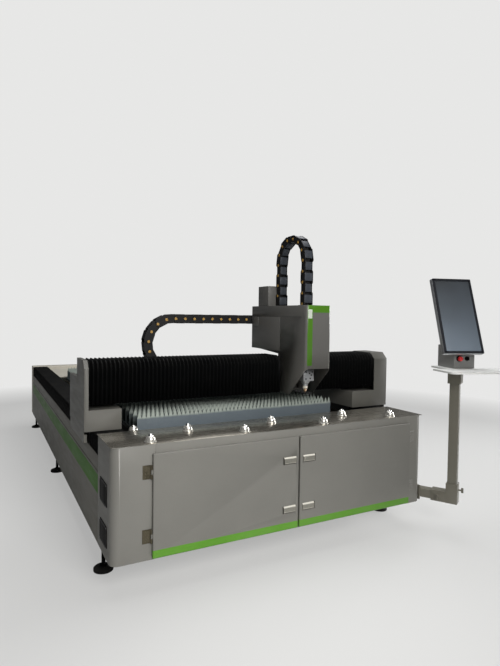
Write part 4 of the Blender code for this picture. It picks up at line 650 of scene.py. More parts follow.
def make_screen_glass():
    """An unlit screen: dark glass with a painted reflection, paler towards its foot."""
    material, tree, shader, where = start_material("screen_glass", 0.22, roughness=0.30)
    # Painted reflection: the glass turns paler and bluer towards its foot, as if mirroring the pale floor.
    slope = remap(tree, apart(tree, where)["Z"], *SCREEN_REFLECTION_FADE, 1.0, 0.0)
    stir = both(tree, calc(tree, "SUBTRACT", noise(tree, where, 2.5, 2.0), 0.5), 0.5)
    factor = calc(tree, "ADD", slope, stir, clamp=True)
    shade = mixed(tree, factor, screen(74, 77, 80), screen(136, 148, 161))
    tree.links.new(shade, shader.inputs["Base Color"])
    return material


BLADE_SHADE_START = 0.50
TEETH_DUST_AND_LIGHT = (0.886, 0.900)


def make_blade_steel():
    """Bare rolled steel; teeth paler from melt dust and painted light, and painted shade behind the front."""
    material, tree, shader, where = start_material("blade_steel", metallic=0.15)
    place = apart(tree, where)
    spread = both(tree, calc(tree, "SUBTRACT", noise(tree, where, 14.0, 4.0), 0.5), 0.012)
    # Paler teeth: part melt dust, part painted light. Darker blades behind the front one: painted shade.
    teeth = remap(tree, calc(tree, "ADD", place["Z"], spread), *TEETH_DUST_AND_LIGHT, 0.0, 1.0)
    behind = above(tree, place["Y"], at(0, BLADE_SHADE_START, 0).y)
    body = mixed(tree, behind, screen(98, 108, 115), screen(74, 82, 83))
    shade = mixed(tree, teeth, body, screen(158, 167, 160))
    use_group(tree, shader, BRUSHED, where, colour=shade, stretch=(4.0, 40.0, 60.0), gloss=0.48, depth=0.3)
    return material


screen_glass = make_screen_glass()
blade_steel = make_blade_steel()

# %% [markdown]
# ## Finishes for the solids that stay
# Plain inner parts keep their own solid and only take a finish. Replacing the one material in a solid's slot
# does that without touching its mesh.

# %% Dress the solids
KEPT = {
    "cabinet_floor": grey_paint, "cabinet_frame": grey_paint, "laser_source": silver, "control_rack": zinc,
    "cross_beam_rear": pale_paint, "slag_tray": zinc,
    "cross_member_1": dark_paint, "cross_member_2": dark_paint,
    "y_rail_left": machined, "y_rail_right": machined,
    "saddle_left": dark_paint, "saddle_right": dark_paint,
    "gantry_beam": dark_paint, "carriage_plate": dark_paint, "z_slide": machined,
}


def dress(node, finish):
    """Gives a solid's own slots a finish."""
    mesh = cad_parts[node].data
    mesh.materials.clear()
    mesh.materials.append(finish)


for node_name, its_finish in KEPT.items():
    dress(node_name, its_finish)
print("dressed", len(KEPT), "solids")

# %% [markdown]
# ## Cabinet skins, doors and covers
# These are folded from 3 mm sheet. Their solids already have the folds, the hinge barrels and the pockets, so
# a rounded copy of each is enough.

# %% Folded parts
for side in ("left", "right"):
    rounded_copy(f"cabinet_{side}_panel", grey_paint, "base", 0.001)
    rounded_copy(f"door_{side}", door_paint, f"{side}_door", 0.0)
    rounded_copy(f"bed_beam_{side}", bed_paint, "base", 0.002)
    rounded_copy(f"end_cover_{side}", cover_paint, "gantry", 0.0015)
rounded_copy("console_tray", tray_paint_and_sheen, "console", 0.0)

# %% [markdown]
# ## The top plate and its ball units
# A loader pushes a heavy sheet over the cabinet on steel balls that turn in cups. The plate is 3 mm polished
# sheet. Each unit is a turned cup with a flange, and a ball in it, so two spun profiles are copied in at
# every place.

# %% Top plate, front beam and ball units
BALL_PITCH = 0.60
BALL_FRONT = (0.235, 0.06)
BALL_REAR = (0.525, 0.23)
BALL_CORNER = (0.2333, 0.4173)
BALL_RADIUS = 0.016
UNIT_RADIUS = 0.036
UNIT_HEIGHT = 0.047
PLATE_TOP = 0.841
FRONT_BEAM_TOP = 0.822


def ball_unit():
    """The steel ball, and the domed cup with its flange that holds it."""
    rise = UNIT_HEIGHT - 0.0003
    ball = [
        (BALL_RADIUS * math.sin(a), rise - BALL_RADIUS * (1 - math.cos(a)))
        for a in (math.radians(12 * i) for i in range(9))
    ]
    rim = [(0.0158, 0.0310), (0.0176, 0.0340), (0.0200, 0.0334)]
    dome = [(0.0238, 0.0300), (0.0265, 0.0250), (0.0285, 0.0185), (0.0296, 0.0120), (0.0300, 0.0065)]
    flange = [(UNIT_RADIUS - 0.001, 0.006), (UNIT_RADIUS, 0.005), (UNIT_RADIUS, 0.0003), (0, 0.0003)]
    return spun(ball, 32), spun([*rim, *dome, *flange], 32)


def make_top_plate():
    low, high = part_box("cabinet_top_plate")
    bm = bmesh.new()
    add_block(bm, low, Vector((high.x, high.y, PLATE_TOP)), 0.0006)
    for face in bm.faces:
        face.material_index = 0 if face.normal.z > 0.9 else 1
    make_piece("top_plate", bm, [top_steel, grey_paint], "base", ["cabinet_top_plate"])
    # The front beam takes the near-black painted shade.
    low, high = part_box("cross_beam_front")
    bm = bmesh.new()
    add_block(bm, low, Vector((high.x, high.y, FRONT_BEAM_TOP)), 0.003)
    make_piece("front_beam", bm, beam_painted_shade, "base", ["cross_beam_front"])
    places = [at(BALL_FRONT[0] + BALL_PITCH * i, BALL_FRONT[1], PLATE_TOP) for i in range(4)]
    places += [at(BALL_REAR[0] + BALL_PITCH * i, BALL_REAR[1], PLATE_TOP) for i in range(3)]
    places.append(at(*BALL_CORNER, FRONT_BEAM_TOP))
    ball, cup = ball_unit()
    bm = bmesh.new()
    for place in places:
        copy_in(bm, ball, Matrix.Translation(place))
        copy_in(bm, cup, Matrix.Translation(place), 1)
    make_piece("ball_units", bm, [chrome, cup_steel], "base")
    print("ball units", len(places))


make_top_plate()

# %% [markdown]
# ## Hinges and latches
# A butt hinge is a leaf rolled round its pin, with three knuckles. The latch is a zinc handle that stands a
# few millimetres proud of the door, with a chamfer along its top in a pale zinc as a painted highlight. A
# press at one end swings it out.

# %% Hinges, latches and their screws
SCREW_FRONT = 0.0033
SCREW_SHIFT = 0.002
SCREW_COLUMNS = (0.0, 0.264)
SCREW_LEVELS = (-0.027, -0.009, 0.009, 0.027)


def screw_head(radius=0.0045, height=0.0022):
    profile = [(0, height), (radius * 0.5, height), (radius * 0.9, height * 0.7), (radius, 0.0), (0, 0.0)]
    return spun(profile, 14)


def make_hinges():
    screws = bmesh.new()
    head = screw_head(0.0048, 0.0016)
    for finish, (side, outward) in enumerate((("left", -1), ("right", 1))):
        for level in ("upper", "lower"):
            node = f"hinge_{side}_{level}"
            rounded_copy(node, hinge_steel if side == "left" else grey_paint, "base", 0.0006)
            low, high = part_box(node)
            middle = (low + high) / 2
            for column in SCREW_COLUMNS:
                x = middle.x + outward * (column * (high.x - low.x) - SCREW_SHIFT)
                for dz in SCREW_LEVELS:
                    place = Matrix.Translation((x, CORNER.y - SCREW_FRONT, middle.z + dz))
                    copy_in(screws, head, place @ TO_FRONT, finish)
    make_piece("hinge_screws", screws, [hinge_steel, grey_paint], "base")


LATCH_HEIGHT = 0.042
LATCH_PROUD = 0.004
LATCH_CHAMFER = 0.009
LATCH_TRIM = 0.0045
LATCH_BACK = 0.004
LATCH_EDGE = 0.0015
LATCH_SLOPE = 0.006
BUTTON_INSET = 0.021
BUTTON_RISE = 0.42


def make_latch(side, level):
    node = f"latch_{side}_{level}"
    low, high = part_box(node)
    away = 1 if side == "left" else -1
    width, top = high.x - low.x - LATCH_TRIM, high.z - 0.0005
    left = low.x + (LATCH_TRIM if side == "left" else 0.0)
    foot, front, back = top - LATCH_HEIGHT, low.y - LATCH_PROUD, low.y + LATCH_BACK
    side_view = [
        (back, foot), (front + LATCH_EDGE, foot), (front, foot + LATCH_EDGE), (front, top - LATCH_CHAMFER),
        (front + LATCH_SLOPE, top), (back, top),
    ]
    bm = drawn_out(side_view, width)
    move(bm, Matrix.Translation((left, 0, 0)) @ ACROSS_YZ)
    sink(bm, (0, -1, 0), 0.5 * width * LATCH_HEIGHT, 0.0030, 0.0010, -0.0012)
    # The top chamfer's faces take the pale zinc as a painted highlight.
    for face in bm.faces:
        if face.normal.z > 0.5 and face.normal.y < -0.3:
            face.material_index = 1
    button = spun([(0, 0.0012), (0.0085, 0.0010), (0.0105, 0.0), (0.0105, -0.002), (0, -0.002)], 24)
    x = left + width / 2 + away * (width / 2 - BUTTON_INSET)
    spot = Matrix.Translation((x, front + 0.0009, foot + LATCH_HEIGHT * BUTTON_RISE))
    copy_in(bm, button, spot @ ACROSS_XZ)
    body = f"{side}_{level}_latch"
    make_piece(f"{node}_handle", bm, [latch_zinc, zinc_painted_highlight], body, [node])


make_hinges()
for side in ("left", "right"):
    for level in ("upper", "lower"):
        make_latch(side, level)

# %% [markdown]
# ## Vent grilles
# Two moulded louvre grilles let air into the left bay. Each louvre is a thin blade tilted so that dust and
# sparks fall off it, so one blade is turned and copied down the frame.

# %% Vent grilles
GRILLE_RIM = 0.012
GRILLE_CORNER = 0.014
LOUVRES = 9
LOUVRE_HALF = (0.0006, 0.0042)
LOUVRE_TILT = math.radians(22)
SCREW_INSET = 0.007


def make_grille(level):
    node = f"vent_grille_{level}"
    low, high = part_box(node)
    width, height = high.y - low.y, high.z - low.z
    middle = (low + high) / 2
    bm = bmesh.new()
    rim = drawn_out(rounded_outline(width, height, GRILLE_CORNER), 0.0035)
    sink(rim, (0, 0, 1), 0.5 * width * height, GRILLE_RIM, 0.001, -0.0028)
    place = Matrix.Translation((high.x, middle.y, middle.z)) @ Matrix.Rotation(math.pi, 4, "Z") @ ACROSS_YZ
    copy_in(bm, as_mesh(rim), place)
    blade = bmesh.new()
    corner = Vector((LOUVRE_HALF[0], width / 2 - GRILLE_RIM, LOUVRE_HALF[1]))
    add_block(blade, -corner, corner, 0.0004)
    blade = as_mesh(blade)
    step = (height - 2 * GRILLE_RIM) / LOUVRES
    for i in range(LOUVRES):
        spot = (low.x + 0.0022, middle.y, low.z + GRILLE_RIM + (i + 0.5) * step)
        copy_in(bm, blade, Matrix.Translation(spot) @ Matrix.Rotation(LOUVRE_TILT, 4, "Y"))
    head = screw_head(0.0035, 0.0016)
    for dy in (-1, 1):
        for dz in (-1, 1):
            y = middle.y + dy * (width / 2 - SCREW_INSET)
            z = middle.z + dz * (height / 2 - SCREW_INSET)
            copy_in(bm, head, Matrix.Translation((low.x + 0.0004, y, z)) @ TO_LEFT, 1)
    make_piece(f"{node}_louvres", bm, [black_plastic, zinc], "base", [node])


make_grille("upper")
make_grille("lower")

# %% [markdown]
# ## Levelling feet
# Six screw feet carry the bed. A foot is a turned rubber pad, a threaded stem and a hexagon nut under the
# bed. The thread is a row of fine ridges, which is enough at this size.

# %% Feet
FEET = [f"foot_{row}_{side}" for row in ("front", "middle", "rear") for side in ("left", "right")]
NUT_TOP = 0.1895
THREAD_RIDGES = 36
THREAD_PITCH = 0.0042
PAD_PROFILE = [
    (0, 0.030), (0.030, 0.030), (0.040, 0.026), (0.054, 0.021), (0.0595, 0.016), (0.060, 0.010),
    (0.058, 0.007), (0.060, 0.004), (0.059, 0.0), (0, 0.0),
]
STEM_FOOT = [(0.022, 0.036), (0.025, 0.033), (0.027, 0.028), (0, 0.028)]
NUT_PROFILE = [
    (0, NUT_TOP), (0.022, NUT_TOP), (0.0255, 0.187), (0.0255, 0.171), (0.022, 0.168), (0, 0.168),
]


def make_feet():
    pad = spun(PAD_PROFILE, 40)
    thread = [(0, NUT_TOP)]
    for i in range(THREAD_RIDGES):
        z = NUT_TOP - 0.004 - i * THREAD_PITCH
        thread += [(0.0125, z), (0.0112, z - THREAD_PITCH / 2)]
    stem = spun([*thread, *STEM_FOOT], 20)
    nut = spun(NUT_PROFILE, 6)
    pads, stems = bmesh.new(), bmesh.new()
    for node in FEET:
        low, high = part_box(node)
        place = Matrix.Translation(((low.x + high.x) / 2, (low.y + high.y) / 2, 0))
        copy_in(pads, pad, place)
        copy_in(stems, stem, place)
        copy_in(stems, nut, place)
    make_piece("foot_pads", pads, rubber, "base", FEET)
    # The stems and nuts take the black finish, so they stand dark under the bed.
    make_piece("foot_stems", stems, black_plastic, "base")


make_feet()

# %% [markdown]
# ## The sawtooth blades
# The sheet being cut lies on the tips of thin steel blades, so that little of it is touched by the beam and
# the melt falls through. Each blade is a flat outline with a row of teeth, drawn out to 3 mm and copied back
# along the bed between two side plates.

# %% Blades
TOOTH_PITCH = 0.030
BLADE_PITCH = 0.100
BLADE_THICKNESS = 0.003
BLADE_ROOT = 0.893
TIP_FLAT = 0.0012
BLADE_LEFT, BLADE_RIGHT = 0.270, 1.800
FIRST_BLADE, LAST_BLADE = 0.466, 3.466
SIDE_PLATE = 0.006
SIDE_PLATE_TOP = 0.815


def make_blades():
    low, high = from_corner("slat_table")
    teeth = round((BLADE_RIGHT - BLADE_LEFT) / TOOTH_PITCH)
    pitch = (BLADE_RIGHT - BLADE_LEFT) / teeth
    saw = [(BLADE_LEFT, low.z), (BLADE_RIGHT, low.z), (BLADE_RIGHT, BLADE_ROOT)]
    for i in range(teeth):
        tip, root = BLADE_RIGHT - (i + 0.5) * pitch, BLADE_RIGHT - (i + 1) * pitch
        saw += [(tip + TIP_FLAT, high.z), (tip - TIP_FLAT, high.z), (root, BLADE_ROOT)]
    blade = as_mesh(drawn_out(saw, BLADE_THICKNESS))
    bm = bmesh.new()
    count = round((LAST_BLADE - FIRST_BLADE) / BLADE_PITCH) + 1
    for i in range(count):
        y = FIRST_BLADE + BLADE_THICKNESS + i * BLADE_PITCH
        copy_in(bm, blade, Matrix.Translation(at(0, y, 0)) @ ACROSS_XZ)
    for x in (low.x, high.x - SIDE_PLATE):
        add_block(bm, at(x, low.y, low.z), at(x + SIDE_PLATE, high.y, SIDE_PLATE_TOP), 0.0008)
    make_piece("sawtooth_blades", bm, blade_steel, "base", ["slat_table"], smooth=20)
    print("blades", count, "with", teeth, "teeth each")


make_blades()

# %% [markdown]
# ## Bellows
# Bellows of coated cloth keep sparks off the rails and the beam. A grid of points is folded: every third row
# goes in to the fold's root, and two rows stay out as its stiff outer edge. For each one a share of the
# motion is worked out that grows evenly along it, as the folds of a real one open together, but it is not
# tied to the parts it joins.

# %% Bellows maker
CLOTH = 0.0012


def folded_sheet(name, outer, inner, start, end, pleats, along, middle):
    """A pleated cover between two stations. outer and inner are its section at the folds' edge and root."""
    rows = 3 * pleats
    bm = bmesh.new()
    bmesh.ops.create_grid(bm, x_segments=rows, y_segments=len(outer) - 1, size=0.5)
    pitch = (end - start) / pleats
    for vert in bm.verts:
        row = round((vert.co.x + 0.5) * rows)
        k = round((vert.co.y + 0.5) * (len(outer) - 1))
        fold, stage = divmod(row, 3)
        u, v = inner[k] if stage == 2 else outer[k]
        far = start + pitch * (fold + (0.0, 0.14, 0.57)[stage])
        vert.co = at(far, u, v) if along == "X" else at(u, far, v)
    bmesh.ops.recalc_face_normals(bm, faces=bm.faces)
    face = max(bm.faces, key=lambda f: (f.calc_center_median() - middle).length)
    if face.normal.dot(face.calc_center_median() - middle) < 0:
        bmesh.ops.reverse_faces(bm, faces=bm.faces)
    piece = make_piece(name, bm, bellows_cloth, smooth=20)
    wall = piece.modifiers.new("cloth", "SOLIDIFY")
    wall.thickness = CLOTH
    wall.offset = -1.0
    return piece


def share_motion(piece, start, end, weight):
    """Bakes the piece's place and works out each point's share from weight(point), but ties it to no body."""
    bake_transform(piece)
    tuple(start)
    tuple(end)
    shares = [min(1.0, max(0.0, weight(vert.co))) for vert in piece.data.vertices]


def even_share(start, end):
    """A share that grows evenly from start to end."""
    along = end - start
    return lambda point: (point - start).dot(along) / along.length_squared


# %% Rail bellows
REAR_PLEATS = 110
FRONT_PLEATS = 48
CLOTH_GAP = 0.0008
RAIL_FOLD = 0.010
RAIL_SHOULDER = (0.010, 0.012)
ROOT_SHOULDER = 0.006


def make_rail_bellows():
    for side in ("left", "right"):
        for end, pleats in (("rear", REAR_PLEATS), ("front", FRONT_PLEATS)):
            node = f"rail_bellows_{side}_{end}"
            low, high = from_corner(node)
            x0, x1 = low.x + 0.001, high.x - 0.001
            base, top = low.z + 0.001, high.z - 0.001
            across, down = RAIL_SHOULDER
            outer = [
                (x0, base), (x0, top - down), (x0 + across, top),
                (x1 - across, top), (x1, top - down), (x1, base),
            ]
            u0, u1, root = x0 + RAIL_FOLD, x1 - RAIL_FOLD, top - RAIL_FOLD
            inner = [
                (u0, base), (u0, root - ROOT_SHOULDER), (u0 + ROOT_SHOULDER, root),
                (u1 - ROOT_SHOULDER, root), (u1, root - ROOT_SHOULDER), (u1, base),
            ]
            middle = at((x0 + x1) / 2, (low.y + high.y) / 2, base)
            near, far = low.y + CLOTH_GAP, high.y - CLOTH_GAP
            piece = folded_sheet(f"{node}_cloth", outer, inner, near, far, pleats, "Y", middle)
            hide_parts(node)
            fixed, moving = (high.y, low.y) if end == "rear" else (low.y, high.y)
            start, stop = at(0, fixed, 0), at(0, moving, 0)
            share_motion(piece, start, stop, even_share(start, stop))


make_rail_bellows()

# %% Beam bellows
BEAM_PLEAT_PITCH = 0.027
BEAM_FOLD = 0.016
BEAM_SLOPE = 0.05


def make_beam_bellows():
    for side in ("left", "right"):
        node = f"beam_bellows_{side}"
        low, high = from_corner(node)
        fold, slope, part = BEAM_FOLD, BEAM_SLOPE, BEAM_SLOPE * 0.35
        front, rear = low.y + 0.001, high.y
        base, top = low.z, high.z - 0.001
        outer = [
            (front, base), (front, top - slope), (front + part, top - part),
            (front + slope, top), (rear, top),
        ]
        inner = [
            (front + fold, base), (front + fold, top - slope - fold * 0.4),
            (front + fold + part, top - part - fold),
            (front + slope + fold * 0.4, top - fold), (rear, top - fold),
        ]
        pleats = round((high.x - low.x) / BEAM_PLEAT_PITCH)
        middle = at((low.x + high.x) / 2, rear, base)
        near, far = low.x + CLOTH_GAP, high.x - CLOTH_GAP
        piece = folded_sheet(f"{node}_cloth", outer, inner, near, far, pleats, "X", middle)
        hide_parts(node)
        fixed, moving = (low.x, high.x) if side == "left" else (high.x, low.x)
        start, stop = at(fixed, 0, 0), at(moving, 0, 0)
        share_motion(piece, start, stop, even_share(start, stop))


make_beam_bellows()

# %% [markdown]
# ## Cable chains
# A cable chain carries power, gas and the fibre to the moving head. Each link is two side plates, which nest
# inside the next ones, two crossbars and a pin at each joint. A wide and a narrow link are made once and set
# by turns along a path: a straight run, half a turn and a straight run back. A share of the motion is worked
# out for each point, so that the bend would travel half as far as the moving end and the straight runs would
# grow or shrink evenly, but the chain is not tied to the moving parts. That is simpler than links which pass
# round the bend.

# %% Chain link
CHAIN_WIDTH = 0.075
PLATE = 0.0055
PIN_RADIUS = 0.0105
BAR_SHARE = 0.74
HOSE_SHARES = (0.30, 0.22, 0.26, 0.22)
HOSE_SIDES = 10
HOSE_STEP = 0.03


def chain_link(pitch, height, inset):
    """One link with its middle at the origin. x runs along the chain and y across it."""
    bm = bmesh.new()
    reach = 1.30 * pitch
    width = CHAIN_WIDTH - 2 * inset
    plate = drawn_out(rounded_outline(reach, height, height * 0.30, 6), PLATE)
    rim = [e for e in plate.edges if abs(e.verts[0].co.z - e.verts[1].co.z) < 0.0001]
    round_edges(plate, rim, 0.0012, 1)
    plate = as_mesh(plate)
    for y in (-width / 2 + PLATE, width / 2):
        copy_in(bm, plate, Matrix.Translation((0, y, 0)) @ TO_FRONT)
    half = BAR_SHARE * pitch / 2
    for side in (-1, 1):
        bar = bmesh.new()
        z = side * (height / 2 - 0.0045)
        add_block(bar, (-half, -width / 2 + PLATE, z - 0.003), (half, width / 2 - PLATE, z + 0.003), 0.002)
        copy_in(bm, as_mesh(bar), Matrix.Identity(4), 1)
    return as_mesh(bm)


def chain_pin(across):
    """A pin head on each side of a joint, with a dimple in its middle."""
    bm = bmesh.new()
    head = [(0, 0.0006), (0.003, 0.0006), (0.004, 0.0014), (PIN_RADIUS - 0.001, 0.0012), (PIN_RADIUS, 0.0004)]
    head = spun([*head, (PIN_RADIUS, -0.001), (0, -0.001)], 18)
    for side in (-1, 1):
        turn = Matrix.Rotation(-side * math.pi / 2, 4, "X")
        copy_in(bm, head, Matrix.Translation((0, side * across / 2, 0)) @ turn, 2)
    return as_mesh(bm)


def add_hoses(bm, length, place):
    """The cables and hoses that lie in the chain, side by side along its path."""
    usable = CHAIN_WIDTH - 4 * PLATE - 0.004
    for i, share in enumerate(HOSE_SHARES):
        radius = usable * share / 2
        across = usable * (sum(HOSE_SHARES[:i]) + share / 2 - 0.5)
        ring = [(0, across + radius * math.cos(a), radius * math.sin(a))
                for a in (2 * math.pi * k / HOSE_SIDES for k in range(HOSE_SIDES))]
        steps = round(length / HOSE_STEP)
        previous = None
        for j in range(steps + 1):
            turn = place(length * (0.004 + 0.992 * j / steps))
            loop = [bm.verts.new(turn @ Vector(point)) for point in ring]
            joined = [bm.edges.new((loop[k], loop[k - 1])) for k in range(HOSE_SIDES)]
            if previous:
                made = bmesh.ops.bridge_loops(bm, edges=previous + joined)["faces"]
                for face in made:
                    face.material_index = 3
            previous = joined


def make_chain(name, first, last, radius, links, height, place):
    """Links along a U-shaped path, as one bmesh. place(distance) gives their matrices."""
    bm = bmesh.new()
    length = first + math.pi * radius + last
    pitch = length / links
    kinds = [chain_link(pitch, height, 0.0), chain_link(pitch, height - 0.002, PLATE + 0.0004)]
    pin = chain_pin(CHAIN_WIDTH)
    for i in range(links):
        copy_in(bm, kinds[i % 2], place((i + 0.5) * pitch))
        if i:
            copy_in(bm, pin, place(i * pitch))
    add_hoses(bm, length, place)
    print(name, "links", links, "length", round(length, 3))
    return bm


def u_path(first, radius, point):
    """Matrices along a U: straight, half a turn, straight back. point(along, out) gives a place."""

    def place(distance):
        bend = math.pi * radius
        if distance < first:
            spot, way = (distance - first, radius), (1, 0)
        elif distance < first + bend:
            angle = (distance - first) / radius
            spot = (radius * math.sin(angle), radius * math.cos(angle))
            way = (math.cos(angle), -math.sin(angle))
        else:
            spot, way = (first + bend - distance, -radius), (-1, 0)
        origin = point(0, 0)
        forward = (point(*way) - origin).normalized()
        outward = (point(-way[1], way[0]) - origin).normalized()
        across = outward.cross(forward)
        turn = Matrix((forward, across, outward)).transposed().to_4x4()
        return Matrix.Translation(point(*spot)) @ turn

    return place


# %% The two chains
BEAM_CHAIN = {
    "turn_x": 0.663, "middle_y": 0.9525, "top_z": 1.5325, "radius": 0.1875, "moving_x": 1.36, "fixed_x": 0.95,
    "links": 21, "height": 0.070,
}
HEAD_CHAIN = {
    "turn_z": 1.962, "middle_y": 0.456, "radius": 0.168, "rear_z": 1.6403, "front_z": 1.4173,
    "links": 18, "height": 0.051,
}


def make_beam_chain():
    c = BEAM_CHAIN
    middle_z = c["top_z"] - c["radius"]
    first, last = c["moving_x"] - c["turn_x"], c["fixed_x"] - c["turn_x"]

    def point(along, out):
        return at(c["turn_x"] - along, c["middle_y"], middle_z + out)

    path = u_path(first, c["radius"], point)
    bm = make_chain("beam chain", first, last, c["radius"], c["links"], c["height"], path)
    finishes = [chain_black, chain_black, pin_ochre, rubber]
    piece = make_piece("beam_chain_links", bm, finishes)
    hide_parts("beam_cable_chain")

    def share(spot):
        run = spot.x - at(c["turn_x"], 0, 0).x
        if run <= 0:
            return 0.5
        return 0.5 + 0.5 * run / first if spot.z > middle_z else 0.5 - 0.5 * run / last

    share_motion(piece, point(-last, -c["radius"]), point(-first, c["radius"]), share)


def make_head_chain():
    c = HEAD_CHAIN
    middle_x = (from_corner("head_cover")[0].x + HEAD_RIGHT) / 2
    first, last = c["turn_z"] - c["rear_z"], c["turn_z"] - c["front_z"]

    def point(along, out):
        return at(middle_x, c["middle_y"] + out, c["turn_z"] + along)

    path = u_path(first, c["radius"], point)
    bm = make_chain("head chain", first, last, c["radius"], c["links"], c["height"], path)
    finishes = [chain_black, chain_bar, pin_ochre, rubber]
    piece = make_piece("head_chain_links", bm, finishes)
    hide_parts("head_cable_chain")
    middle = point(0, 0)

    def share(spot):
        run = c["turn_z"] - spot.z
        if run <= 0:
            return 0.5
        return 0.5 - 0.5 * run / first if spot.y > middle.y else 0.5 + 0.5 * run / last

    share_motion(piece, point(-first, c["radius"]), point(-last, -c["radius"]), share)


make_beam_chain()
make_head_chain()

# %% [markdown]
# ## The head's cover
# The cover is folded sheet, open below, with its two front corners rolled to a large radius. The outline of
# its side is drawn out, the faces that are open on the real one are taken away, the front corners are rounded
# and the shell gets its wall. Thin cap plates and a hatch make its seams.

# %% Head cover
HEAD_LEFT = 1.334
HEAD_REAR, HEAD_TOP = 0.910, 1.640
FACE_LOW, PLATE_LOW = 1.203, 1.005
PLATE_FRONT, PLATE_REAR = 0.336, 0.455
OVER_FRONT, OVER_REAR = 1.295, 1.310
CORNER_ROUND = 0.022
SHEET_WALL = 0.002
COVER_PLATE_FRONT = 0.474
SEAM = 1.5595
SEAM_HALF = 0.0025
SEAM_PROUD, SEAM_SUNK = 0.0012, 0.0002
SEAM_EDGE = 0.0006
HATCH_PROUD = 0.0022
HATCH = ((0.800, 1.478), (0.906, 1.553))
BRACKET = ((1.334, 0.652, 1.640), (1.480, 0.809, 1.793))
CHAIN_SHELF = ((1.3603, 0.909, 1.5025), (1.42, 0.990, 1.5625))
GROMMET_Y = 0.288
GROMMET_HALF = (0.046, 0.036)


def make_head_cover():
    side = [
        (HEAD_FRONT, FACE_LOW), (PLATE_FRONT, PLATE_LOW), (PLATE_REAR, PLATE_LOW), (PLATE_REAR, OVER_FRONT),
        (HEAD_REAR, OVER_REAR), (HEAD_REAR, HEAD_TOP), (HEAD_FRONT, HEAD_TOP),
    ]
    bm = drawn_out(side, HEAD_RIGHT - HEAD_LEFT)
    move(bm, Matrix.Translation(at(HEAD_LEFT, 0, 0)) @ ACROSS_YZ)
    front_y = at(0, HEAD_FRONT, 0).y
    open_faces = [
        f for f in bm.faces
        if f.normal.z < -0.3 or (f.normal.y > 0.9 and f.calc_center_median().z < OVER_FRONT - 0.005)
    ]
    bmesh.ops.delete(bm, geom=open_faces, context="FACES")
    corners = [
        e for e in bm.edges
        if all(abs(v.co.y - front_y) < 1e-5 for v in e.verts)
        and abs(e.verts[0].co.z - e.verts[1].co.z) > 0.1 and len(e.link_faces) == 2
    ]
    round_edges(bm, corners, CORNER_ROUND, 8)
    crown = [e for e in bm.edges if len(e.link_faces) == 2 and e.calc_face_angle() > SHARP]
    round_edges(bm, crown, 0.002)
    cover = make_piece("head_cover_shell", bm, head_paint, "carriage", ["head_cover"])
    wall = cover.modifiers.new("sheet", "SOLIDIFY")
    wall.thickness = SHEET_WALL
    wall.offset = -1.0
    bm = bmesh.new()
    rear = HEAD_REAR - 0.002
    left = (HEAD_LEFT - SEAM_PROUD, HEAD_LEFT + SEAM_SUNK)
    right = (HEAD_RIGHT - SEAM_SUNK, HEAD_RIGHT + SEAM_PROUD)
    for x0, x1 in (left, right):
        add_block(bm, at(x0, HEAD_FRONT + 0.024, SEAM + SEAM_HALF), at(x1, rear, HEAD_TOP - 0.003), SEAM_EDGE)
        low = at(x0, COVER_PLATE_FRONT, OVER_FRONT + 0.012)
        add_block(bm, low, at(x1, rear, SEAM - SEAM_HALF), SEAM_EDGE)
    back_low = at(HEAD_LEFT + 0.010, HEAD_REAR - 0.0004, OVER_REAR + 0.014)
    add_block(bm, back_low, at(HEAD_RIGHT - 0.010, HEAD_REAR + SEAM_PROUD, HEAD_TOP - 0.012), SEAM_EDGE)
    for x0, x1 in ((HEAD_LEFT - HATCH_PROUD, HEAD_LEFT), (HEAD_RIGHT, HEAD_RIGHT + HATCH_PROUD)):
        add_block(bm, at(x0, *HATCH[0]), at(x1, *HATCH[1]), 0.0008)
    make_piece("head_side_plates", bm, head_paint, "carriage")
    bm = bmesh.new()
    add_block(bm, at(*BRACKET[0]), at(*BRACKET[1]), 0.003)
    add_block(bm, at(*CHAIN_SHELF[0]), at(*CHAIN_SHELF[1]), 0.002)
    make_piece("chain_brackets", bm, head_paint, "carriage")
    middle, (half_x, half_y) = (HEAD_LEFT + HEAD_RIGHT) / 2, GROMMET_HALF
    low = at(middle - half_x, GROMMET_Y - half_y, HEAD_TOP - 0.001)
    bm = bmesh.new()
    add_block(bm, low, at(middle + half_x, GROMMET_Y + half_y, HEAD_TOP + 0.004), 0.0015)
    make_piece("chain_grommet", bm, rubber, "carriage")


make_head_cover()

# %% [markdown]
# ## The cutting head
# Below the cover show the lens block with its small caps, round collars, a pale ceramic ring and the copper
# nozzle. They are turned and milled, so spun profiles and rounded blocks make them.

# %% Cutting head
NOZZLE_X, NOZZLE_Y = 1.437, 0.285
HEAD_FACE = -0.044
HEAD_BLOCKS = [
    ((-0.044, -0.044, 1.104), (0.044, 0.044, 1.189), 0.005),
    ((-0.036, -0.0465, 1.112), (0.036, -0.043, 1.181), 0.002),
    ((-0.040, -0.040, 1.262), (0.040, 0.040, 1.358), 0.005),
    ((-0.0375, 0.020, 1.206), (0.0375, 0.071, 1.324), 0.003),
]
FOCUS = [
    (0, 1.262), (0.036, 1.262), (0.0375, 1.255), (0.0375, 1.228), (0.034, 1.226), (0.034, 1.214),
    (0.0375, 1.212), (0.0375, 1.196), (0.035, 1.188), (0, 1.188),
]
NECK = [
    (0, 1.106), (0.031, 1.106), (0.032, 1.102), (0.032, 1.096), (0.027, 1.093), (0.026, 1.088),
    (0.020, 1.082), (0.016, 1.080), (0.016, 1.066), (0, 1.066),
]
CERAMIC = [(0, 1.067), (0.0175, 1.067), (0.0175, 1.052), (0.012, 1.050), (0, 1.050)]
NOZZLE = [(0, 1.051), (0.0125, 1.051), (0.0125, 1.038), (0.0100, 1.033), (0.0032, 1.021), (0, 1.0205)]
PLUG = [
    (0, 1.399), (0.017, 1.399), (0.020, 1.394), (0.020, 1.372), (0.022, 1.370), (0.022, 1.357),
    (0, 1.357),
]
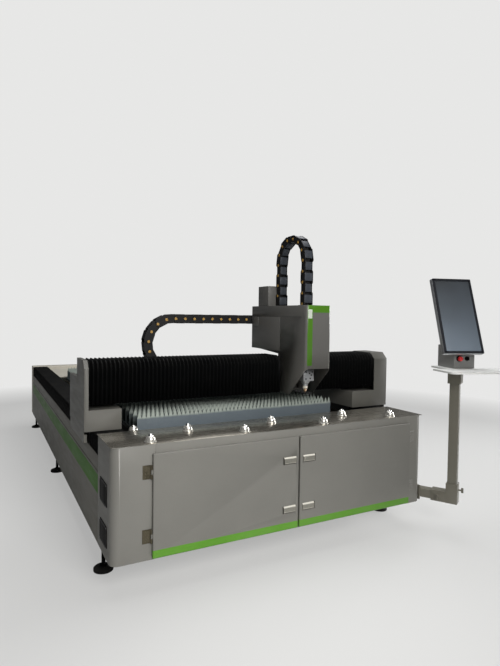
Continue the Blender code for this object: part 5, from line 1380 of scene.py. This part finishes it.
TURNED_PARTS = [(FOCUS, 36, 0), (NECK, 36, 0), (CERAMIC, 30, 2), (NOZZLE, 30, 3), (PLUG, 30, 1)]
KNOBS = [(-0.018, 1.150), (0.018, 1.168)]
CAPS = [(-0.026, 1.170), (0.004, 1.160), (0.018, 1.148), (0.026, 1.170), (0.010, 1.124), (-0.026, 1.122)]


def make_cutting_head():
    bm = bmesh.new()
    spot = Matrix.Translation(at(NOZZLE_X, NOZZLE_Y, 0))
    for low, high, edge in HEAD_BLOCKS:
        block = bmesh.new()
        add_block(block, low, high, edge)
        copy_in(bm, as_mesh(block), spot)
    for profile, steps, finish in TURNED_PARTS:
        copy_in(bm, spun(profile, steps), spot, finish)
    knob = spun([(0, 0.016), (0.010, 0.016), (0.012, 0.013), (0.012, 0.002), (0, 0.0)], 18)
    for y, z in KNOBS:
        copy_in(bm, knob, spot @ Matrix.Translation((HEAD_FACE, y, z)) @ TO_LEFT, 1)
    cap = spun([(0, 0.003), (0.0045, 0.003), (0.0055, 0.002), (0.0055, 0.0), (0, 0.0)], 16)
    for x, z in CAPS:
        copy_in(bm, cap, spot @ Matrix.Translation((x, HEAD_FACE - 0.0022, z)) @ TO_FRONT, 1)
    finishes = [silver, black_plastic, pale_paint, copper]
    make_piece("cutting_head_body", bm, finishes, "lift", ["cutting_head"])


make_cutting_head()

# %% [markdown]
# ## The operator's console
# A square tube leaves the cabinet near the floor, meets the post in a welded elbow with two clamp sockets and
# carries the tray, the panel box and an upright screen. Tubes have round edges, so a rounded square is drawn
# out and turned to the arm's direction.

# %% Console tubes
POST_PLACE = at(2.447, -0.168, 0)
ARM_TURN = math.radians(-60)
HEAD_TURN = math.radians(-18)
TUBE = 0.066
CONSOLE = Matrix.Translation(POST_PLACE) @ Matrix.Rotation(ARM_TURN, 4, "Z")
DESK = Matrix.Translation(POST_PLACE) @ Matrix.Rotation(HEAD_TURN, 4, "Z")


def make_tubes():
    bm = bmesh.new()
    low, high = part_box("console_post")
    post = drawn_out(rounded_outline(TUBE, TUBE, 0.007), high.z - low.z)
    copy_in(bm, as_mesh(post), CONSOLE @ Matrix.Translation((0, 0, low.z)))
    make_piece("post_tube", bm, console_paint, "console", ["console_post"])
    rounded_copy("console_arm", console_paint, "base", 0.0)
    rounded_copy("console_elbow", console_paint, "console_slider", 0.003)


make_tubes()

# %% [markdown]
# The panel box is bent sheet with the stop button and the key switch in its front. The screen is an
# industrial panel: a silver case, a black frame and dark glass, with air slots in its back.

# %% Panel box and screen
BOX_U, BOX_V, BOX_Z = (-0.012, 0.153), (0.003, 0.223), (1.1973, 1.3623)
STOP_U, KEY_U, BUTTON_Z = 0.026, 0.090, 1.2703
SCREEN_U, SCREEN_V, SCREEN_Z = -0.138, -0.080, 1.312
SCREEN_WIDTH, SCREEN_HEIGHT, SCREEN_DEPTH = 0.315, 0.585, 0.040
SCREEN_LEAN = math.radians(-20)
BEZEL = 0.018
BACK_DEPTH = 0.010
BACK_INSET = (0.04, 0.06)
SLOT_COUNT, SLOT_PITCH, SLOT_START = 14, 0.0125, 0.075
SLOT_WIDTH, SLOT_HEIGHT = 0.005, 0.05
STAND_HALF, STAND_V, STAND_RISE = 0.05, (0.009, 0.049), 0.135
BUTTON_GAP = 0.0003
STOP_COLLAR = [(0.011, 0.006), (0.019, 0.006), (0.021, 0.004), (0.021, 0.0), (0.011, 0.0)]
KEY_COLLAR = [(0.0125, 0.004), (0.0155, 0.004), (0.0165, 0.002), (0.0165, 0.0), (0.0125, 0.0)]
STOP_BUTTON = [
    (0, 0.034), (0.008, 0.0335), (0.014, 0.031), (0.0175, 0.027), (0.019, 0.021), (0.0185, 0.016),
    (0.012, 0.0135), (0.009, 0.012), (0.009, 0.0068), (0, 0.0068),
]
KEY_BASE = [(0, 0.012), (0.010, 0.012), (0.0115, 0.010), (0.012, 0.0), (0, 0.0)]


def on_panel(across, proud=0.0):
    """A place on the front of the panel box, with z pointing out of it."""
    return DESK @ Matrix.Translation((across, BOX_V[0] - proud, BUTTON_Z)) @ TO_FRONT


def make_panel_box():
    bm = bmesh.new()
    add_block(bm, (BOX_U[0], BOX_V[0], BOX_Z[0]), (BOX_U[1], BOX_V[1], BOX_Z[1]), 0.004)
    move(bm, DESK)
    make_piece("panel_box", bm, panel_grey, "console", ["console_box"])
    bm = bmesh.new()
    copy_in(bm, spun(STOP_COLLAR, 30), on_panel(STOP_U))
    copy_in(bm, spun(KEY_COLLAR, 28), on_panel(KEY_U))
    make_piece("button_collars", bm, black_plastic, "console")
    bm = bmesh.new()
    copy_in(bm, spun(STOP_BUTTON, 32), on_panel(STOP_U, BUTTON_GAP))
    make_piece("stop_button", bm, red_plastic, "stop", ["emergency_stop"])
    bm = bmesh.new()
    spot = on_panel(KEY_U, BUTTON_GAP)
    copy_in(bm, spun(KEY_BASE, 28), spot)
    grip = drawn_out(rounded_outline(0.005, 0.023, 0.002), 0.018)
    copy_in(bm, as_mesh(grip), spot @ Matrix.Translation((0, 0, 0.011)))
    make_piece("key_knob", bm, black_plastic, "key", ["key_switch"])


def make_screen():
    tilt = DESK @ Matrix.Translation((SCREEN_U, SCREEN_V, SCREEN_Z)) @ Matrix.Rotation(SCREEN_LEAN, 4, "X")
    bm = bmesh.new()
    add_block(bm, (0, 0.004, 0), (SCREEN_WIDTH, SCREEN_DEPTH, SCREEN_HEIGHT), 0.006, 3)
    back = SCREEN_DEPTH + BACK_DEPTH
    inset_x, inset_z = BACK_INSET
    back_corner = (SCREEN_WIDTH - inset_x, back, SCREEN_HEIGHT - inset_z)
    add_block(bm, (inset_x, SCREEN_DEPTH - 0.002, inset_z), back_corner, 0.006)
    slots = bmesh.new()
    for z in (0.11, SCREEN_HEIGHT - 0.16):
        for i in range(SLOT_COUNT):
            x = SLOT_START + i * SLOT_PITCH
            add_block(slots, (x, back - 0.001, z), (x + SLOT_WIDTH, back + 0.0006, z + SLOT_HEIGHT))
    copy_in(bm, as_mesh(slots), Matrix.Identity(4), 1)
    move(bm, tilt)
    stand = bmesh.new()
    middle = SCREEN_U + SCREEN_WIDTH / 2
    low = (middle - STAND_HALF, STAND_V[0], BOX_Z[1])
    add_block(stand, low, (middle + STAND_HALF, STAND_V[1], BOX_Z[1] + STAND_RISE), 0.004)
    copy_in(bm, as_mesh(stand), DESK, 2)
    make_piece("screen_case", bm, [silver, black_plastic, panel_grey], "console", ["monitor"])
    bm = drawn_out(rounded_outline(SCREEN_WIDTH - 0.005, SCREEN_HEIGHT - 0.005, 0.005), 0.0045)
    sink(bm, (0, 0, 1), 0.05, BEZEL, 0.001, -0.002)
    frame_place = tilt @ Matrix.Translation((SCREEN_WIDTH / 2, 0.0045, SCREEN_HEIGHT / 2)) @ ACROSS_XZ
    move(bm, frame_place)
    make_piece("screen_frame", bm, bezel_black, "console")
    bm = bmesh.new()
    inset = BEZEL + 0.003
    add_block(bm, (inset, 0.0015, inset), (SCREEN_WIDTH - inset, 0.0035, SCREEN_HEIGHT - inset), 0.0004)
    move(bm, tilt)
    make_piece("screen_pane", bm, screen_glass, "console")


make_panel_box()
make_screen()

# %% [markdown]
# ## Floor and light
# A pale floor fades into a pale backdrop far away, so that nothing but the machine has an edge. The light is
# a photographer's: one soft lamp from the front, left of the cabinet's middle, a wide one above, one from the
# far right, and a dim surround. The left side stays darker than the front, as in the hall.

# %% Studio
FAR_GLOW = 0.35
NEAR_PALING = 0.50
SIDE_POWER = 75.0
BACKDROP = 0.80
FLOOR_SHADE = 0.62
FLOOR_SIZE = 60.0
FLOOR_FADE = (2.8, 7.0)
WHITE = (BACKDROP, BACKDROP, BACKDROP * 0.99, 1)
KEY_POWER = 36.0
TOP_POWER = 330.0
SURROUND = 0.075


def seen_directly(tree):
    """1 for what the camera sees itself or through glass, and 0 for the light that a surface gives."""
    path = put(tree, "ShaderNodeLightPath")
    return calc(tree, "MAXIMUM", path.outputs["Is Camera Ray"], path.outputs["Is Transmission Ray"])


def make_floor():
    bm = bmesh.new()
    bmesh.ops.create_grid(bm, x_segments=4, y_segments=4, size=FLOOR_SIZE)
    mesh = bpy.data.meshes.new("floor")
    bm.to_mesh(mesh)
    bm.free()
    floor = bpy.data.objects.new("floor", mesh)
    bpy.context.scene.collection.objects.link(floor)
    material, tree, shader, where = start_material("floor", roughness=0.6)
    shader.inputs["Base Color"].default_value = (FLOOR_SHADE, FLOOR_SHADE, FLOOR_SHADE * 0.985, 1)
    flat = put(tree, "ShaderNodeVectorMath", {0: where}, operation="LENGTH").outputs["Value"]
    far = remap(tree, flat, *FLOOR_FADE, 0.0, 1.0)
    shown = seen_directly(tree)
    strength = calc(tree, "MAXIMUM", shown, FAR_GLOW)
    glow = put(tree, "ShaderNodeEmission", {"Color": WHITE, "Strength": strength})
    paled = calc(tree, "MAXIMUM", far, both(tree, shown, NEAR_PALING))
    mix = put(tree, "ShaderNodeMixShader", {0: paled, 1: shader.outputs[0], 2: glow.outputs[0]})
    tree.links.new(mix.outputs[0], tree.nodes["Material Output"].inputs["Surface"])
    mesh.materials.append(material)


def make_world():
    world = bpy.data.worlds.new("studio")
    bpy.context.scene.world = world
    world.use_nodes = True
    tree = world.node_tree
    tree.nodes.clear()
    seen = put(tree, "ShaderNodeBackground", {"Color": WHITE, "Strength": 1.0})
    lit = put(tree, "ShaderNodeBackground", {"Color": (0.93, 0.96, 1.0, 1), "Strength": SURROUND})
    mix = put(tree, "ShaderNodeMixShader", {0: seen_directly(tree), 1: lit.outputs[0], 2: seen.outputs[0]})
    out = put(tree, "ShaderNodeOutputWorld")
    tree.links.new(mix.outputs[0], out.inputs["Surface"])


def add_lamp(name, place, aim, size, power, colour=(1, 1, 1), spread=math.pi):
    lamp = bpy.data.lights.new(name, "AREA")
    lamp.shape = "RECTANGLE"
    lamp.size, lamp.size_y = size
    lamp.energy = power
    lamp.spread = spread
    lamp.color = colour
    obj = bpy.data.objects.new(name, lamp)
    bpy.context.scene.collection.objects.link(obj)
    obj.location = place
    obj.rotation_euler = (Vector(aim) - Vector(place)).to_track_quat("-Z", "Y").to_euler()


make_floor()
make_world()
KEY_COLOUR, KEY_SPREAD = (1.0, 0.985, 0.96), math.radians(80)
add_lamp("key_lamp", (-0.9, -5.6, 2.7), (-0.8, -2.0, 0.7), (1.7, 1.7), KEY_POWER, KEY_COLOUR, KEY_SPREAD)
add_lamp("top_lamp", (1.3, 0.4, 6.0), (1.0, 0.0, 0.0), (4.6, 8.0), TOP_POWER)
add_lamp("side_lamp", (7.5, -1.6, 2.3), (1.0, -1.6, 1.0), (2.5, 3.0), SIDE_POWER, spread=math.radians(70))
bpy.context.scene.view_settings.view_transform = "Standard"
